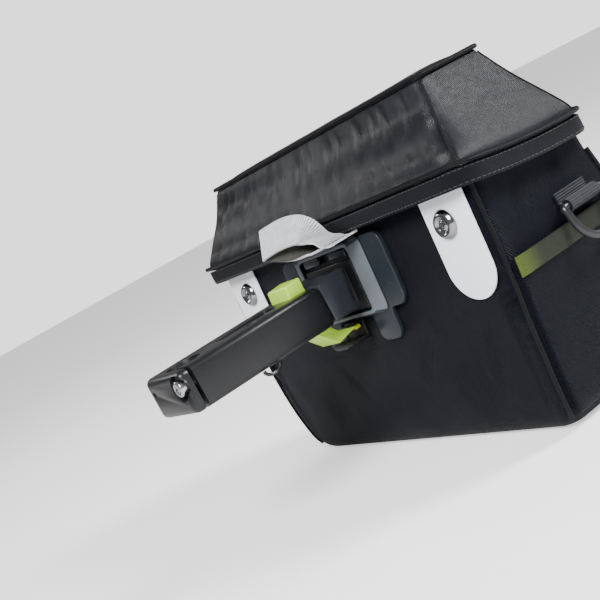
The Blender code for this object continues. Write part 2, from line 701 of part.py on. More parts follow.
def make_arm():
    place = Vector((0, STEM_Y, ARM_HEIGHT))
    low = (-ARM_HALF, -ARM_REAR, ARM_BOTTOM)
    high = (ARM_HALF, ARM_REACH, ARM_TOP)
    arm = add_part("stem_arm", box_mesh("stem_arm", low, high), arm_black, place)
    soften(arm, ARM_EDGE, 3)

    far = CUT_REACH
    slot_front = BUTTON_REAR + BUTTON_LENGTH
    stem_rear = slot_front - 1.5 * mm - STEM_LENGTH
    shapes = [
        rod_mesh("bore_cut", TUBE_RADIUS, (0, 0, -far), (0, 0, far), 32),
        box_mesh("slit_cut", (0, -SLIT_FROM, -far), (far, -SLIT_FROM + SLIT_WIDTH, far)),
        rod_mesh("recess_cut", RECESS_RADIUS, (BOLT_X, -far, BOLT_Z), (BOLT_X, RECESS_DEEP - ARM_REAR, BOLT_Z)),
        rod_mesh("shank_cut", BOLT_SHANK + GAP, (BOLT_X, -far, BOLT_Z), (BOLT_X, BOLT_REACH - ARM_REAR, BOLT_Z), 16),
        rod_mesh("pin_cut", SMALL_HOLE, (-BOLT_X, -far, BOLT_Z), (-BOLT_X, 6 * mm - ARM_REAR, BOLT_Z), 12),
        box_mesh("channel_cut", (-CHANNEL_HALF, TUBE_RADIUS + CHANNEL_FROM_TUBE, ARM_TOP - CHANNEL_DEEP),
                 (CHANNEL_HALF, BUTTON_REAR - CHANNEL_FROM_BUTTON, far)),
        box_mesh("hollow_cut", (-ARM_HALF + ARM_WALL, TUBE_RADIUS + 7 * mm, -far),
                 (ARM_HALF - ARM_WALL, stem_rear - ARM_WALL, ARM_TOP - CHANNEL_DEEP - ARM_WALL)),
        box_mesh("button_cut", (-BUTTON_HALF - GAP, BUTTON_REAR - GAP, ARM_TOP - BUTTON_SUNK - PRESS - GAP),
                 (BUTTON_HALF + GAP, slot_front + GAP, far)),
        box_mesh("stem_cut", (-STEM_HALF - GAP, stem_rear - GAP, -far),
                 (STEM_HALF + GAP, stem_rear + STEM_LENGTH + GAP, far)),
    ]
    for mesh in shapes:
        cutter = cutter_from(mesh)
        cutter.location = place
        cut(arm, cutter)

    # Socket-head bolt: head in the recess, shank across the slit
    head = RECESS_DEEP - ARM_REAR - GAP
    bolt_cup = 2.4 * mm
    profile = ((0, BOLT_HEAD_DEEP - 2 * mm), (bolt_cup, BOLT_HEAD_DEEP - 2 * mm), (bolt_cup, BOLT_HEAD_DEEP),
               (BOLT_HEAD - 0.8 * mm, BOLT_HEAD_DEEP), (BOLT_HEAD, BOLT_HEAD_DEEP - 0.8 * mm), (BOLT_HEAD, 0),
               (BOLT_SHANK, 0), (BOLT_SHANK, 1 * mm - BOLT_REACH + RECESS_DEEP), (0, 1 * mm - BOLT_REACH + RECESS_DEEP))
    bm = bmesh.new()
    verts = [bm.verts.new((r, 0, z)) for r, z in profile]
    for a, b in zip(verts, verts[1:]):
        bm.edges.new((a, b))
    mesh = bpy.data.meshes.new("clamp_bolt")
    bm.to_mesh(mesh)
    bm.free()
    bolt = add_part("clamp_bolt", mesh, chrome, place + Vector((BOLT_X, head, BOLT_Z)), math.radians(90))
    screw = bolt.modifiers.new("turn", "SCREW")
    screw.steps = screw.render_steps = 20
    screw.use_merge_vertices = True
    screw.merge_threshold = 0.00002

    # Cable eye under the arm, its ends on the arm's underside walls
    eye = []
    for step in range(9):
        angle = math.pi * step / 8
        eye.append((ARM_HALF - ARM_WALL / 2, EYE_PLACE - EYE_HALF * math.cos(angle),
                    ARM_BOTTOM - GAP - EYE_DROP * math.sin(angle)))
    tube("cable_eye", eye, EYE_WIRE, arm_black, location=place)


def make_head():
    place = Vector((0, STEM_Y, ARM_HEIGHT))
    near = ARM_REACH + GAP
    reach = plate_place().y - STEM_Y
    face = reach - (PLATE_WALL + 3 * GAP) / math.cos(BACK_TILT)
    half = ARM_HALF - HEAD_INSET
    wide = MOUTH_HALF - 2 * mm
    block = near + HEAD_LENGTH
    lean = math.tan(BACK_TILT)
    lift = HEAD_RISE
    # Sections from the arm to the plate: y, half width, foot, top, share of the lean
    sections = (
        (near, half, ARM_BOTTOM + 1 * mm, ARM_TOP - 0.5 * mm, 0),
        (block, half, ARM_BOTTOM + 1 * mm, ARM_TOP + 2 * mm, 2),
        (block + 0.4 * mm, half - 5 * mm, ARM_BOTTOM + 4 * mm, ARM_TOP - 1 * mm, 2),
        (face - HEAD_PLATE - 0.3 * mm, half - 5 * mm, ARM_BOTTOM + 4 * mm, ARM_TOP - 1 * mm, 1),
        (face - HEAD_PLATE, wide, lift + MOUTH_FOOT + 2 * mm, lift + MOUTH_TOP - CATCH_DROP - 2 * mm, 1),
        (face, wide, lift + MOUTH_FOOT + 2 * mm, lift + MOUTH_TOP - CATCH_DROP - 2 * mm, 1),
    )
    rows = []
    for y, width, foot, top, share in sections:
        rows.append([(x, y + share * lean * (z - lift), z)
                     for x, z in ((-width, foot), (-width, top), (width, top), (width, foot))])
    mesh = mesh_from("adapter_head", lambda bm: loft(bm, rows, close_foot=True, close_top=True))
    head = add_part("adapter_head", mesh, slate_plastic, place)
    soften(head, 1.0 * mm, 2)


def make_slider():
    place = Vector((0, STEM_Y, ARM_HEIGHT))
    foot = ARM_TOP - BUTTON_SUNK
    rear, front = BUTTON_REAR, BUTTON_REAR + BUTTON_LENGTH
    top = foot + BUTTON_HEIGHT
    # Button: leaning front and a top that rises forward
    rows = [
        [(-BUTTON_HALF, rear, foot), (BUTTON_HALF, rear, foot), (BUTTON_HALF, front, foot), (-BUTTON_HALF, front, foot)],
        [(-BUTTON_HALF, rear + 1 * mm, top - 1 * mm), (BUTTON_HALF, rear + 1 * mm, top - 1 * mm),
         (BUTTON_HALF, front, top), (-BUTTON_HALF, front, top)],
    ]
    mesh = mesh_from("release_button", lambda bm: loft(bm, rows, close_foot=True, close_top=True))
    soften(add_part("release_button", mesh, lime_plastic, place), 0.9 * mm)

    # Hook: a stem through the arm, then a wedge whose rear face slopes forward, seen from the side
    stem_rear = front - 1.5 * mm - STEM_LENGTH
    stem_front = stem_rear + STEM_LENGTH
    under = ARM_BOTTOM - 1 * mm
    hook_front = ARM_REACH + HEAD_LENGTH * 0.95
    hook_top = FRAME_FOOT + HEAD_RISE - 3 * GAP
    mesh = box_mesh("lock_stem", (-STEM_HALF, stem_rear, under + 0.4 * mm), (STEM_HALF, stem_front, foot - GAP))
    add_part("lock_stem", mesh, lime_plastic, place)
    profile = ((stem_rear, under), (stem_rear + HOOK_SLOPE, HOOK_FOOT), (hook_front, HOOK_FOOT + 3 * mm),
               (hook_front, hook_top), (stem_front + HOOK_NOTCH, under - HOOK_NOTCH_DEEP),
               (stem_front + HOOK_SHELF, under))
    rows = [[(x, y, z) for y, z in profile] for x in (-HOOK_HALF, HOOK_HALF)]
    mesh = mesh_from("lock_hook", lambda bm: loft(bm, rows, close_foot=True, close_top=True))
    soften(add_part("lock_hook", mesh, lime_plastic, place), 0.8 * mm, 1)

    # Its tip clears the lip's leaning inner face, pressed down too
    face = PLATE_WALL + LUG_WALL + 3 * GAP
    tip = plate_place().y - STEM_Y - face / math.cos(BACK_TILT) + LUG_HOLD * math.tan(BACK_TILT)
    low = (-HOOK_HALF + 1 * mm, hook_front + GAP, hook_top - TONGUE_WALL)
    high = (HOOK_HALF - 1 * mm, tip, hook_top)
    soften(add_part("lock_tongue", box_mesh("lock_tongue", low, high), olive_plastic, place), 0.5 * mm, 1)


def smooth_points(points, cells):
    # Points on a smooth curve through the given ones
    out = []
    count = len(points)
    for i in range(count - 1):
        a, b = points[max(i - 1, 0)], points[i]
        c, d = points[i + 1], points[min(i + 2, count - 1)]
        for step in range(cells):
            t = step / cells
            out.append(0.5 * ((2 * b) + (c - a) * t + (2 * a - 5 * b + 4 * c - d) * t ** 2
                              + (3 * b - a - 3 * c + d) * t ** 3))
    out.append(points[-1])
    return out


def make_strap():
    # Webbing whose two ends lie flat on the frame's top edge, folded over at the left
    lift = math.tan(BACK_TILT) * (PLATE_WALL + FRAME_DEEP)
    seat = Vector((0, STRAP_SEAT_Y, PLATE_HEIGHT + FRAME_TOP + lift + GAP + STRAP_WALL / 2))
    route = []
    slopes = []
    for along, out, rise, slope in STRAP_ROUTE:
        route.append(seat + Vector((along * STRAP_REACH, -out * STRAP_OUT, rise * STRAP_RISE)))
        slopes.append(Vector((slope, 0, 0)))
    line = smooth_points(route, 2)
    turns = smooth_points(slopes, 2)
    rows = [[], []]
    for point, turn in zip(line, turns):
        angle = math.radians(turn.x)
        width = Vector((0, math.cos(angle), math.sin(angle))) * STRAP_WIDTH / 2
        rows[0].append(point + width)
        rows[1].append(point - width)
    mesh = mesh_from("pull_strap", lambda bm: patch(bm, rows))
    wall = thicken(add_part("pull_strap", mesh, white_web), STRAP_WALL)
    wall.offset = 0


clear_scene()
parts = bpy.data.collections.new("handlebar_bag")
cutters = bpy.data.collections.new("cutters")
for group in (parts, cutters):
    bpy.context.scene.collection.children.link(group)

nylon = new_material("nylon", (0.020, 0.022, 0.030), 0.62)
lid_nylon = new_material("lid_nylon", (0.026, 0.028, 0.036), 0.55)
binding = new_material("binding", (0.022, 0.024, 0.034), 0.6)
green_web = new_material("green_web", (0.16, 0.21, 0.05), 0.7)
dark_web = new_material("dark_web", (0.05, 0.05, 0.06), 0.7)
white_web = new_material("white_web", (0.72, 0.73, 0.76), 0.75)
white_plastic = new_material("white_plastic", (0.70, 0.73, 0.76), 0.4)
slate_plastic = new_material("slate_plastic", (0.035, 0.045, 0.055), 0.45)
black_plastic = new_material("black_plastic", (0.02, 0.02, 0.022), 0.5)
arm_black = new_material("arm_black", (0.022, 0.023, 0.026), 0.42)
steel_black = new_material("steel_black", (0.06, 0.06, 0.065), 0.35, 0.4)
lime_plastic = new_material("lime_plastic", (0.45, 0.68, 0.16), 0.4)
olive_plastic = new_material("olive_plastic", (0.38, 0.40, 0.03), 0.45)
chrome = new_material("chrome", (0.75, 0.75, 0.77), 0.18, 1.0)

make_body()
make_lid()
make_corner_piping()
make_plate()
make_lug()
make_arm()
make_head()
make_slider()
make_strap()
for side, word in ((1, "right"), (-1, "left")):
    make_pocket(side, word)
    make_ring(side, word)
    make_tab(side, word)
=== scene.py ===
# Bicycle stem bag on its click-in holder.
# Metres; +Z up, +Y forward, +X to the right; the origin is the middle of the bag's flat base.

import math

import bmesh
import bpy
from mathutils import Matrix, Vector, noise


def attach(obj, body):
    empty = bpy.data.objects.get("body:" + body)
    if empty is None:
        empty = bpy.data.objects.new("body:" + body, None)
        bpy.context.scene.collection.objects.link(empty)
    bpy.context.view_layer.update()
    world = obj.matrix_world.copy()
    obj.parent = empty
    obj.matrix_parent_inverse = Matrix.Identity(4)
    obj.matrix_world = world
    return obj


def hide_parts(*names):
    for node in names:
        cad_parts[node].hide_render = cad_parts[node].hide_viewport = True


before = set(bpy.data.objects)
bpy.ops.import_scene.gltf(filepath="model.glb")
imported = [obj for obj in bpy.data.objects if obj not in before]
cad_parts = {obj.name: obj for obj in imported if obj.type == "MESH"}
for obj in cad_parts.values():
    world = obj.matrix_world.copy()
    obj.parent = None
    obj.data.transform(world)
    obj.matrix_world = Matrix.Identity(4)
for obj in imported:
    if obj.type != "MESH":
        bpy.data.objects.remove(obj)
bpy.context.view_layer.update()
mm = 0.001

camera = {
    "place": (0.59935, -0.43166, 0.20174),
    "azimuth": 59.61,
    "elevation": 6.27,
    "roll": -28.40,
    "focalPixels": 1120.06,
    "frameWidth": 600,
    "sensor": 36,
}

backPanel = {"y": -42.2 * mm, "height": 149.6 * mm, "tilt": 4.42}


def deselectAll():
    for thing in list(bpy.context.selected_objects):
        thing.select_set(False)


def pick(piece):
    deselectAll()
    piece.select_set(True)
    bpy.context.view_layer.objects.active = piece


def applyModifiers(piece):
    pick(piece)
    for modifier in list(piece.modifiers):
        bpy.ops.object.modifier_apply(modifier=modifier.name)


def settle(piece):
    # Place, turn and scale go into the mesh
    pick(piece)
    bpy.ops.object.transform_apply(location=True, rotation=True, scale=True)


def smooth(piece, angle=35):
    pick(piece)
    bpy.ops.object.shade_smooth_by_angle(angle=math.radians(angle))


def editMesh(piece, *steps):
    # Each step is a mesh operator and its settings, run on the whole piece
    pick(piece)
    bpy.ops.object.mode_set(mode="EDIT")
    bpy.ops.mesh.select_all(action="SELECT")
    for operator, settings in steps:
        operator(**settings)
    bpy.ops.object.mode_set(mode="OBJECT")


mergeClose = (bpy.ops.mesh.remove_doubles, {"threshold": 0.00001})


def fixNormals(piece):
    editMesh(piece, mergeClose, (bpy.ops.mesh.normals_make_consistent, {"inside": False}))


def dress(piece, material, slot, body, *nodes):
    piece.data.materials.clear()
    piece.data.materials.append(material)
    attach(piece, body)
    if nodes:
        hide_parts(*nodes)
    return piece


def addObject(name, mesh):
    piece = bpy.data.objects.new(name, mesh)
    bpy.context.scene.collection.objects.link(piece)
    return piece


def gridPiece(name, rows, spots, closed=False, capFirst=False, capLast=False):
    # Rows of points made into quads; spots are the cloth's own flat coordinates, in metres
    shape = bmesh.new()
    layer = shape.loops.layers.uv.new("cloth")
    grid = [[shape.verts.new(point) for point in row] for row in rows]
    count = len(rows[0])
    for r in range(len(rows) - 1):
        for c in range(count if closed else count - 1):
            d = (c + 1) % count
            face = shape.faces.new((grid[r][c], grid[r][d], grid[r + 1][d], grid[r + 1][c]))
            corners = (spots[r][c], spots[r][c + 1], spots[r + 1][c + 1], spots[r + 1][c])
            for loop, spot in zip(face.loops, corners):
                loop[layer].uv = spot
    for cap, row in ((capFirst, grid[0][::-1]), (capLast, grid[-1])):
        if cap:
            face = shape.faces.new(row)
            for loop in face.loops:
                loop[layer].uv = (loop.vert.co.x, loop.vert.co.y)
    mesh = bpy.data.meshes.new(name)
    shape.to_mesh(mesh)
    shape.free()
    return addObject(name, mesh)


def lengthsAlong(line, closed=False):
    # Distance travelled at each point of the line, and back at its start if it is closed
    lengths = [0.0]
    for a, b in zip(line, line[1:] + line[:1] if closed else line[1:]):
        lengths.append(lengths[-1] + (b - a).length)
    return lengths


def cornerColumns(cells):
    # First column of each corner of a rounded ring: front right, front left, back left, back right
    longCells, shortCells, arcCells = cells
    return (0, arcCells + longCells, 2 * arcCells + longCells + shortCells,
            3 * arcCells + 2 * longCells + shortCells)


def flatSpots(rows, closed):
    # Lengths along each row and up the columns
    along = lengthsAlong(rows[len(rows) // 2], closed)
    up = [0.0]
    for low, high in zip(rows, rows[1:]):
        quarter = len(low) // 4
        up.append(up[-1] + (high[quarter] - low[quarter]).length)
    return [[(u, v) for u in along] for v in up]


def panelSpots(rows, cells):
    # Flat coordinates of a tapering ring, with each panel measured from its own middle
    columns = len(rows[0])
    bends = [cells[2] // 2 + column for column in (*cornerColumns(cells), columns)]
    spots = []
    for row, line in zip(rows, flatSpots(rows, True)):
        travelled = lengthsAlong(row, closed=True)
        spot = []
        for column in range(columns + 1):
            wraps = column <= bends[0]
            turn = 3 if wraps else sum(column > bend for bend in bends) - 1
            middle = (bends[turn] + bends[turn + 1]) // 2
            far = travelled[column] - travelled[middle] + (travelled[-1] if wraps else 0)
            spot.append((line[middle][0] + far - (line[-1][0] if wraps else 0), line[0][1]))
        spots.append(spot)
    return spots


def thicken(piece, wall, offset=-1):
    solid = piece.modifiers.new("wall", "SOLIDIFY")
    solid.thickness = wall
    solid.offset = offset
    applyModifiers(piece)


def curveValue(a, b, c, d, t):
    # Smooth curve from b to c, led by their neighbours a and d
    return 0.5 * ((2 * b) + (c - a) * t + (2 * a - 5 * b + 4 * c - d) * t ** 2
                  + (3 * b - a - 3 * c + d) * t ** 3)


def smoothLine(points, cells):
    # Points on a smooth curve through the given ones
    line = []
    last = len(points) - 1
    for i in range(last):
        a, b, c, d = points[max(i - 1, 0)], points[i], points[i + 1], points[min(i + 2, last)]
        for step in range(cells):
            line.append(curveValue(a, b, c, d, step / cells))
    line.append(points[-1])
    return line


def sweep(name, points, radius, closed=False, sides=12):
    # Round cord along the points, its ends closed
    count = len(points)
    rows = []
    up = Vector((0, 0, 1))
    side = None
    for i, point in enumerate(points):
        before = points[i - 1] if closed or i else point
        after = points[(i + 1) % count] if closed or i < count - 1 else point
        way = (after - before).normalized()
        if side is None:
            side = way.cross(up if abs(way.z) < 0.9 else Vector((1, 0, 0))).normalized()
        side = (side - way * side.dot(way)).normalized()
        other = way.cross(side)
        row = []
        for k in range(sides):
            angle = 2 * math.pi * k / sides
            row.append(point + (side * math.cos(angle) + other * math.sin(angle)) * radius)
        rows.append(row)
    if closed:
        rows.append(rows[0])
    piece = gridPiece(name, rows, flatSpots(rows, True), closed=True, capFirst=not closed, capLast=not closed)
    fixNormals(piece)
    return piece


def bump01(distance):
    return 0.0 if abs(distance) >= 1 else 0.5 + 0.5 * math.cos(math.pi * distance)


def backY(z):
    return backPanel["y"] - (backPanel["height"] - z) * math.tan(math.radians(backPanel["tilt"]))


def roundedRing(halfWidth, halfDepth, corner, cells):
    # (spot, normal, face, place across) round a rounded rectangle, counter-clockwise from the right
    longCells, shortCells, arcCells = cells
    columns = []
    for turn, face in enumerate(("front", "left", "back", "right")):
        start = math.radians(90 * turn)
        signX = 1 if turn in (0, 3) else -1
        signY = 1 if turn in (0, 1) else -1
        centre = Vector((signX * (halfWidth - corner), signY * (halfDepth - corner)))
        for step in range(arcCells + 1):
            angle = start + math.radians(90) * step / arcCells
            normal = Vector((math.cos(angle), math.sin(angle)))
            columns.append((centre + corner * normal, normal, "corner", turn + step / arcCells))
        isLong = face in ("front", "back")
        count = longCells if isLong else shortCells
        length = 2 * ((halfWidth if isLong else halfDepth) - corner)
        normal = Vector((math.cos(start + math.pi / 2), math.sin(start + math.pi / 2)))
        along = Vector((-normal.y, normal.x))
        first = columns[-1][0]
        for step in range(1, count):
            spot = first + along * (length * step / count)
            across = spot.x / halfWidth if isLong else spot.y / halfDepth
            columns.append((spot, normal, face, across))
    return columns


def newGroup(name, inputs, outputs):
    group = bpy.data.node_groups.new(name, "ShaderNodeTree")
    for label, kind, value in inputs:
        socket = group.interface.new_socket(name=label, in_out="INPUT", socket_type=kind)
        if value is not None:
            socket.default_value = value
    for label, kind in outputs:
        group.interface.new_socket(name=label, in_out="OUTPUT", socket_type=kind)
    return group, group.nodes.new("NodeGroupInput"), group.nodes.new("NodeGroupOutput")


def maths(tree, operation, a, b=None, c=None):
    node = tree.nodes.new("ShaderNodeMath")
    node.operation = operation
    for slot, value in enumerate((a, b, c)):
        if value is None:
            continue
        if hasattr(value, "is_output"):
            tree.links.new(value, node.inputs[slot])
        else:
            node.inputs[slot].default_value = value
    return node.outputs[0]


def makeTwillGroup():
    # Woven cloth: diagonal ribs crossed by finer threads, from flat coordinates in metres
    group, given, out = newGroup(
        "twillWeave",
        [("Flat", "NodeSocketVector", None), ("Pitch", "NodeSocketFloat", 0.0011),
         ("Slant", "NodeSocketFloat", 1.0), ("Cross", "NodeSocketFloat", 0.35),
         ("Drift", "NodeSocketFloat", 2.2)],
        [("Height", "NodeSocketFloat"), ("Shade", "NodeSocketFloat")])
    split = group.nodes.new("ShaderNodeSeparateXYZ")
    group.links.new(given.outputs["Flat"], split.inputs[0])
    wobble = group.nodes.new("ShaderNodeTexNoise")
    wobble.inputs["Scale"].default_value = 240
    wobble.inputs["Detail"].default_value = 2
    group.links.new(given.outputs["Flat"], wobble.inputs["Vector"])
    drift = maths(group, "MULTIPLY", wobble.outputs["Fac"], given.outputs["Drift"])
    turns = maths(group, "DIVIDE", 2 * math.pi, given.outputs["Pitch"])
    slanted = maths(group, "MULTIPLY", split.outputs["Y"], given.outputs["Slant"])
    ribPlace = maths(group, "ADD", split.outputs["X"], slanted)
    rib = maths(group, "SINE", maths(group, "ADD", maths(group, "MULTIPLY", ribPlace, turns), drift))
    crossPlace = maths(group, "SUBTRACT", split.outputs["X"], slanted)
    cross = maths(group, "SINE", maths(group, "MULTIPLY", maths(group, "MULTIPLY", crossPlace, turns), 2.0))
    height = maths(group, "MULTIPLY_ADD", cross, given.outputs["Cross"], rib)
    group.links.new(maths(group, "MULTIPLY_ADD", height, 0.37, 0.5), out.inputs["Height"])
    threads = maths(group, "MULTIPLY_ADD", height, 0.35, 0.15)
    group.links.new(maths(group, "MULTIPLY_ADD", wobble.outputs["Fac"], 0.5, threads), out.inputs["Shade"])
    return group


def makeWearGroup():
    # Slow patches, fine specks and a grain height, from object coordinates
    group, given, out = newGroup(
        "surfaceWear",
        [("Size", "NodeSocketFloat", 30.0), ("Grain", "NodeSocketFloat", 1500.0)],
        [("Patches", "NodeSocketFloat"), ("Specks", "NodeSocketFloat"), ("Grain", "NodeSocketFloat")])
    place = group.nodes.new("ShaderNodeTexCoord")
    for label, output, detail, rough in (("Size", "Patches", 4, 0.6), ("Grain", "Grain", 3, 0.7)):
        texture = group.nodes.new("ShaderNodeTexNoise")
        texture.inputs["Detail"].default_value = detail
        texture.inputs["Roughness"].default_value = rough
        group.links.new(place.outputs["Object"], texture.inputs["Vector"])
        group.links.new(given.outputs[label], texture.inputs["Scale"])
        group.links.new(texture.outputs["Fac"], out.inputs[output])
    dots = group.nodes.new("ShaderNodeTexNoise")
    dots.inputs["Scale"].default_value = 900
    dots.inputs["Detail"].default_value = 1
    group.links.new(place.outputs["Object"], dots.inputs["Vector"])
    sparse = maths(group, "GREATER_THAN", dots.outputs["Fac"], 0.74)
    group.links.new(sparse, out.inputs["Specks"])
    return group


twillGroup = makeTwillGroup()
wearGroup = makeWearGroup()


def startMaterial(name):
    material = bpy.data.materials.new(name)
    material.use_nodes = True
    tree = material.node_tree
    return material, tree, tree.nodes["Principled BSDF"]


def placeGroup(tree, group, **values):
    node = tree.nodes.new("ShaderNodeGroup")
    node.node_tree = group
    for label, value in values.items():
        node.inputs[label].default_value = value
    return node


def mixColour(tree, share, first, second):
    mix = tree.nodes.new("ShaderNodeMix")
    mix.data_type = "RGBA"
    tree.links.new(share, mix.inputs["Factor"])
    for socket, value in ((mix.inputs["A"], first), (mix.inputs["B"], second)):
        if hasattr(value, "is_output"):
            tree.links.new(value, socket)
        else:
            socket.default_value = (*value, 1)
    return mix.outputs["Result"]


def spread(tree, value, low, high):
    # Fits a 0 to 1 value to low to high
    node = tree.nodes.new("ShaderNodeMapRange")
    node.inputs["To Min"].default_value = low
    node.inputs["To Max"].default_value = high
    tree.links.new(value, node.inputs["Value"])
    return node.outputs["Result"]


def addBump(tree, shader, height, strength, distance, after=None):
    node = tree.nodes.new("ShaderNodeBump")
    node.inputs["Strength"].default_value = strength
    node.inputs["Distance"].default_value = distance
    tree.links.new(height, node.inputs["Height"])
    if after is not None:
        tree.links.new(after, node.inputs["Normal"])
    tree.links.new(node.outputs["Normal"], shader.inputs["Normal"])
    return node.outputs["Normal"]


def clothMaterial(name, look):
    material, tree, shader = startMaterial(name)
    flat = tree.nodes.new("ShaderNodeUVMap")
    flat.uv_map = "cloth"
    weave = placeGroup(tree, twillGroup, Pitch=look["pitch"], Slant=look["slant"], Cross=look["cross"],
                       Drift=look.get("drift", 2.2))
    tree.links.new(flat.outputs["UV"], weave.inputs["Flat"])
    wear = placeGroup(tree, wearGroup, Size=28.0, Grain=1400.0)
    base = mixColour(tree, weave.outputs["Shade"], look["dark"], look["light"])
    fade = spread(tree, wear.outputs["Patches"], 0.0, look.get("fade", 0.35))
    worn = mixColour(tree, fade, base, look["worn"])
    tree.links.new(worn, shader.inputs["Base Color"])
    tree.links.new(spread(tree, wear.outputs["Patches"], *look["roughness"]), shader.inputs["Roughness"])
    shader.inputs["Sheen Weight"].default_value = look.get("sheen", 0.15)
    shader.inputs["Sheen Roughness"].default_value = 0.4
    shader.inputs["Specular IOR Level"].default_value = look.get("specular", 0.5)
    soft = addBump(tree, shader, wear.outputs["Patches"], 0.25, 0.0015)
    addBump(tree, shader, weave.outputs["Height"], look["relief"], look.get("deep", 0.0004), soft)
    return material


def plasticMaterial(name, look):
    material, tree, shader = startMaterial(name)
    wear = placeGroup(tree, wearGroup, Size=40.0, Grain=2200.0)
    base = mixColour(tree, wear.outputs["Patches"], look["dark"], look["light"])
    dust = maths(tree, "MULTIPLY", wear.outputs["Specks"], look.get("dust", 0.12))
    dusty = mixColour(tree, dust, base, (0.4, 0.4, 0.4))
    tree.links.new(dusty, shader.inputs["Base Color"])
    tree.links.new(spread(tree, wear.outputs["Patches"], *look["roughness"]), shader.inputs["Roughness"])
    shader.inputs["Specular IOR Level"].default_value = look.get("specular", 0.5)
    shader.inputs["Metallic"].default_value = look.get("metallic", 0.0)
    shader.inputs["Subsurface Weight"].default_value = look.get("glow", 0.0)
    shader.inputs["Subsurface Scale"].default_value = 0.004
    shader.inputs["Coat Weight"].default_value = look.get("coat", 0.0)
    shader.inputs["Coat Roughness"].default_value = 0.15
    addBump(tree, shader, wear.outputs["Grain"], look.get("relief", 0.15), 0.0002)
    return material


looks = {
    "nylon": {"dark": (0.0004, 0.0006, 0.0018), "light": (0.0042, 0.0055, 0.0105),
              "worn": (0.0046, 0.0058, 0.0105), "pitch": 0.00145, "slant": 0.75, "cross": 0.25,
              "roughness": (0.38, 0.52), "relief": 1.0, "deep": 0.0006, "sheen": 0.0, "specular": 0.10},
    "lidNylon": {"dark": (0.0006, 0.0008, 0.0020), "light": (0.0042, 0.0050, 0.0090),
                 "worn": (0.0046, 0.0054, 0.0090), "pitch": 0.0011, "slant": 0.0, "cross": 0.7,
                 "roughness": (0.32, 0.46), "relief": 0.8, "deep": 0.0005, "sheen": 0.0, "specular": 0.30},
    "binding": {"dark": (0.0011, 0.0013, 0.0024), "light": (0.0056, 0.0062, 0.0092),
                "worn": (0.0065, 0.0070, 0.0098), "pitch": 0.0015, "slant": 0.0, "cross": 0.8,
                "roughness": (0.44, 0.58), "relief": 1.0, "deep": 0.0005, "sheen": 0.0, "specular": 0.18},
    "thread": {"dark": (0.020, 0.021, 0.028), "light": (0.055, 0.058, 0.070), "worn": (0.06, 0.06, 0.07),
               "pitch": 0.0005, "slant": 1.0, "cross": 0.3, "roughness": (0.45, 0.6), "relief": 0.5,
               "specular": 0.4},
    "whiteWeb": {"dark": (0.30, 0.31, 0.35), "light": (0.98, 0.99, 1.0), "worn": (0.72, 0.73, 0.77),
                 "pitch": 0.00125, "slant": 0.0, "cross": 0.15, "roughness": (0.62, 0.78), "relief": 1.0,
                 "deep": 0.0006, "sheen": 0.05, "fade": 0.25, "drift": 0.25},
    "shadeWeb": {"dark": (0.020, 0.020, 0.019), "light": (0.10, 0.098, 0.090),
                 "worn": (0.07, 0.068, 0.063), "pitch": 0.00125, "slant": 0.0, "cross": 0.15,
                 "roughness": (0.62, 0.78), "relief": 1.0, "deep": 0.0006, "sheen": 0.0, "specular": 0.2,
                 "drift": 0.25},
    "darkWeb": {"dark": (0.0030, 0.0034, 0.0050), "light": (0.030, 0.032, 0.040),
                "worn": (0.024, 0.025, 0.031), "pitch": 0.0014, "slant": 0.0, "cross": 0.5, "drift": 0.3,
                "roughness": (0.5, 0.68), "relief": 0.9, "sheen": 0.0, "specular": 0.3},
    "greenWeb": {"dark": (0.0028, 0.0040, 0.0020), "light": (0.016, 0.022, 0.0070),
                 "worn": (0.013, 0.017, 0.0070), "pitch": 0.0010, "slant": 0.8, "cross": 0.6,
                 "roughness": (0.5, 0.68), "relief": 0.9, "sheen": 0.0, "specular": 0.25},
}
hardLooks = {
    "tabWhite": {"dark": (0.84, 0.87, 0.90), "light": (0.90, 0.93, 0.96), "roughness": (0.36, 0.48),
                 "relief": 0.1, "dust": 0.05},
    "slate": {"dark": (0.0085, 0.0120, 0.0165), "light": (0.0150, 0.0200, 0.0265),
              "roughness": (0.30, 0.42), "relief": 0.22, "specular": 0.35},
    "headSlate": {"dark": (0.0120, 0.0148, 0.0190), "light": (0.0185, 0.0225, 0.0280),
                  "roughness": (0.28, 0.40), "relief": 0.2, "specular": 0.45},
    # Painted highlight colour for the rim round the frame's mouth
    "rimHighlightSlate": {"dark": (0.060, 0.070, 0.082), "light": (0.11, 0.125, 0.14), "roughness": (0.25, 0.38),
                 "relief": 0.2},
    # Painted highlight colour for the arm's edge next to the head
    "armEdgeHighlight": {"dark": (0.035, 0.036, 0.040), "light": (0.075, 0.077, 0.084), "roughness": (0.25, 0.38),
                "relief": 0.2},
    "blackSatin": {"dark": (0.0020, 0.0020, 0.0028), "light": (0.0045, 0.0045, 0.0060),
                   "roughness": (0.35, 0.5), "relief": 0.2, "specular": 0.3},
    "armBlack": {"dark": (0.0042, 0.0044, 0.0055), "light": (0.0078, 0.0080, 0.0098),
                 "roughness": (0.28, 0.40), "relief": 0.2, "specular": 0.42, "dust": 0.06},
    "ringBlack": {"dark": (0.008, 0.008, 0.0095), "light": (0.020, 0.020, 0.023),
                  "roughness": (0.24, 0.38), "relief": 0.2, "specular": 0.5},
    "lime": {"dark": (0.42, 0.72, 0.045), "light": (0.54, 0.84, 0.08), "roughness": (0.26, 0.40),
             "relief": 0.08, "glow": 0.25, "dust": 0.03},
    # Painted light: the lime plastic's yellow-olive look under other light, given to the lock tongue
    "olive": {"dark": (0.42, 0.40, 0.006), "light": (0.52, 0.48, 0.01), "roughness": (0.3, 0.42),
              "relief": 0.08, "glow": 0.15},
    "chrome": {"dark": (0.20, 0.20, 0.21), "light": (0.34, 0.34, 0.36), "roughness": (0.10, 0.20),
               "metallic": 1.0, "relief": 0.04},
    "boltSteel": {"dark": (0.40, 0.40, 0.42), "light": (0.55, 0.55, 0.57), "roughness": (0.18, 0.30),
                  "metallic": 1.0, "relief": 0.06},
}
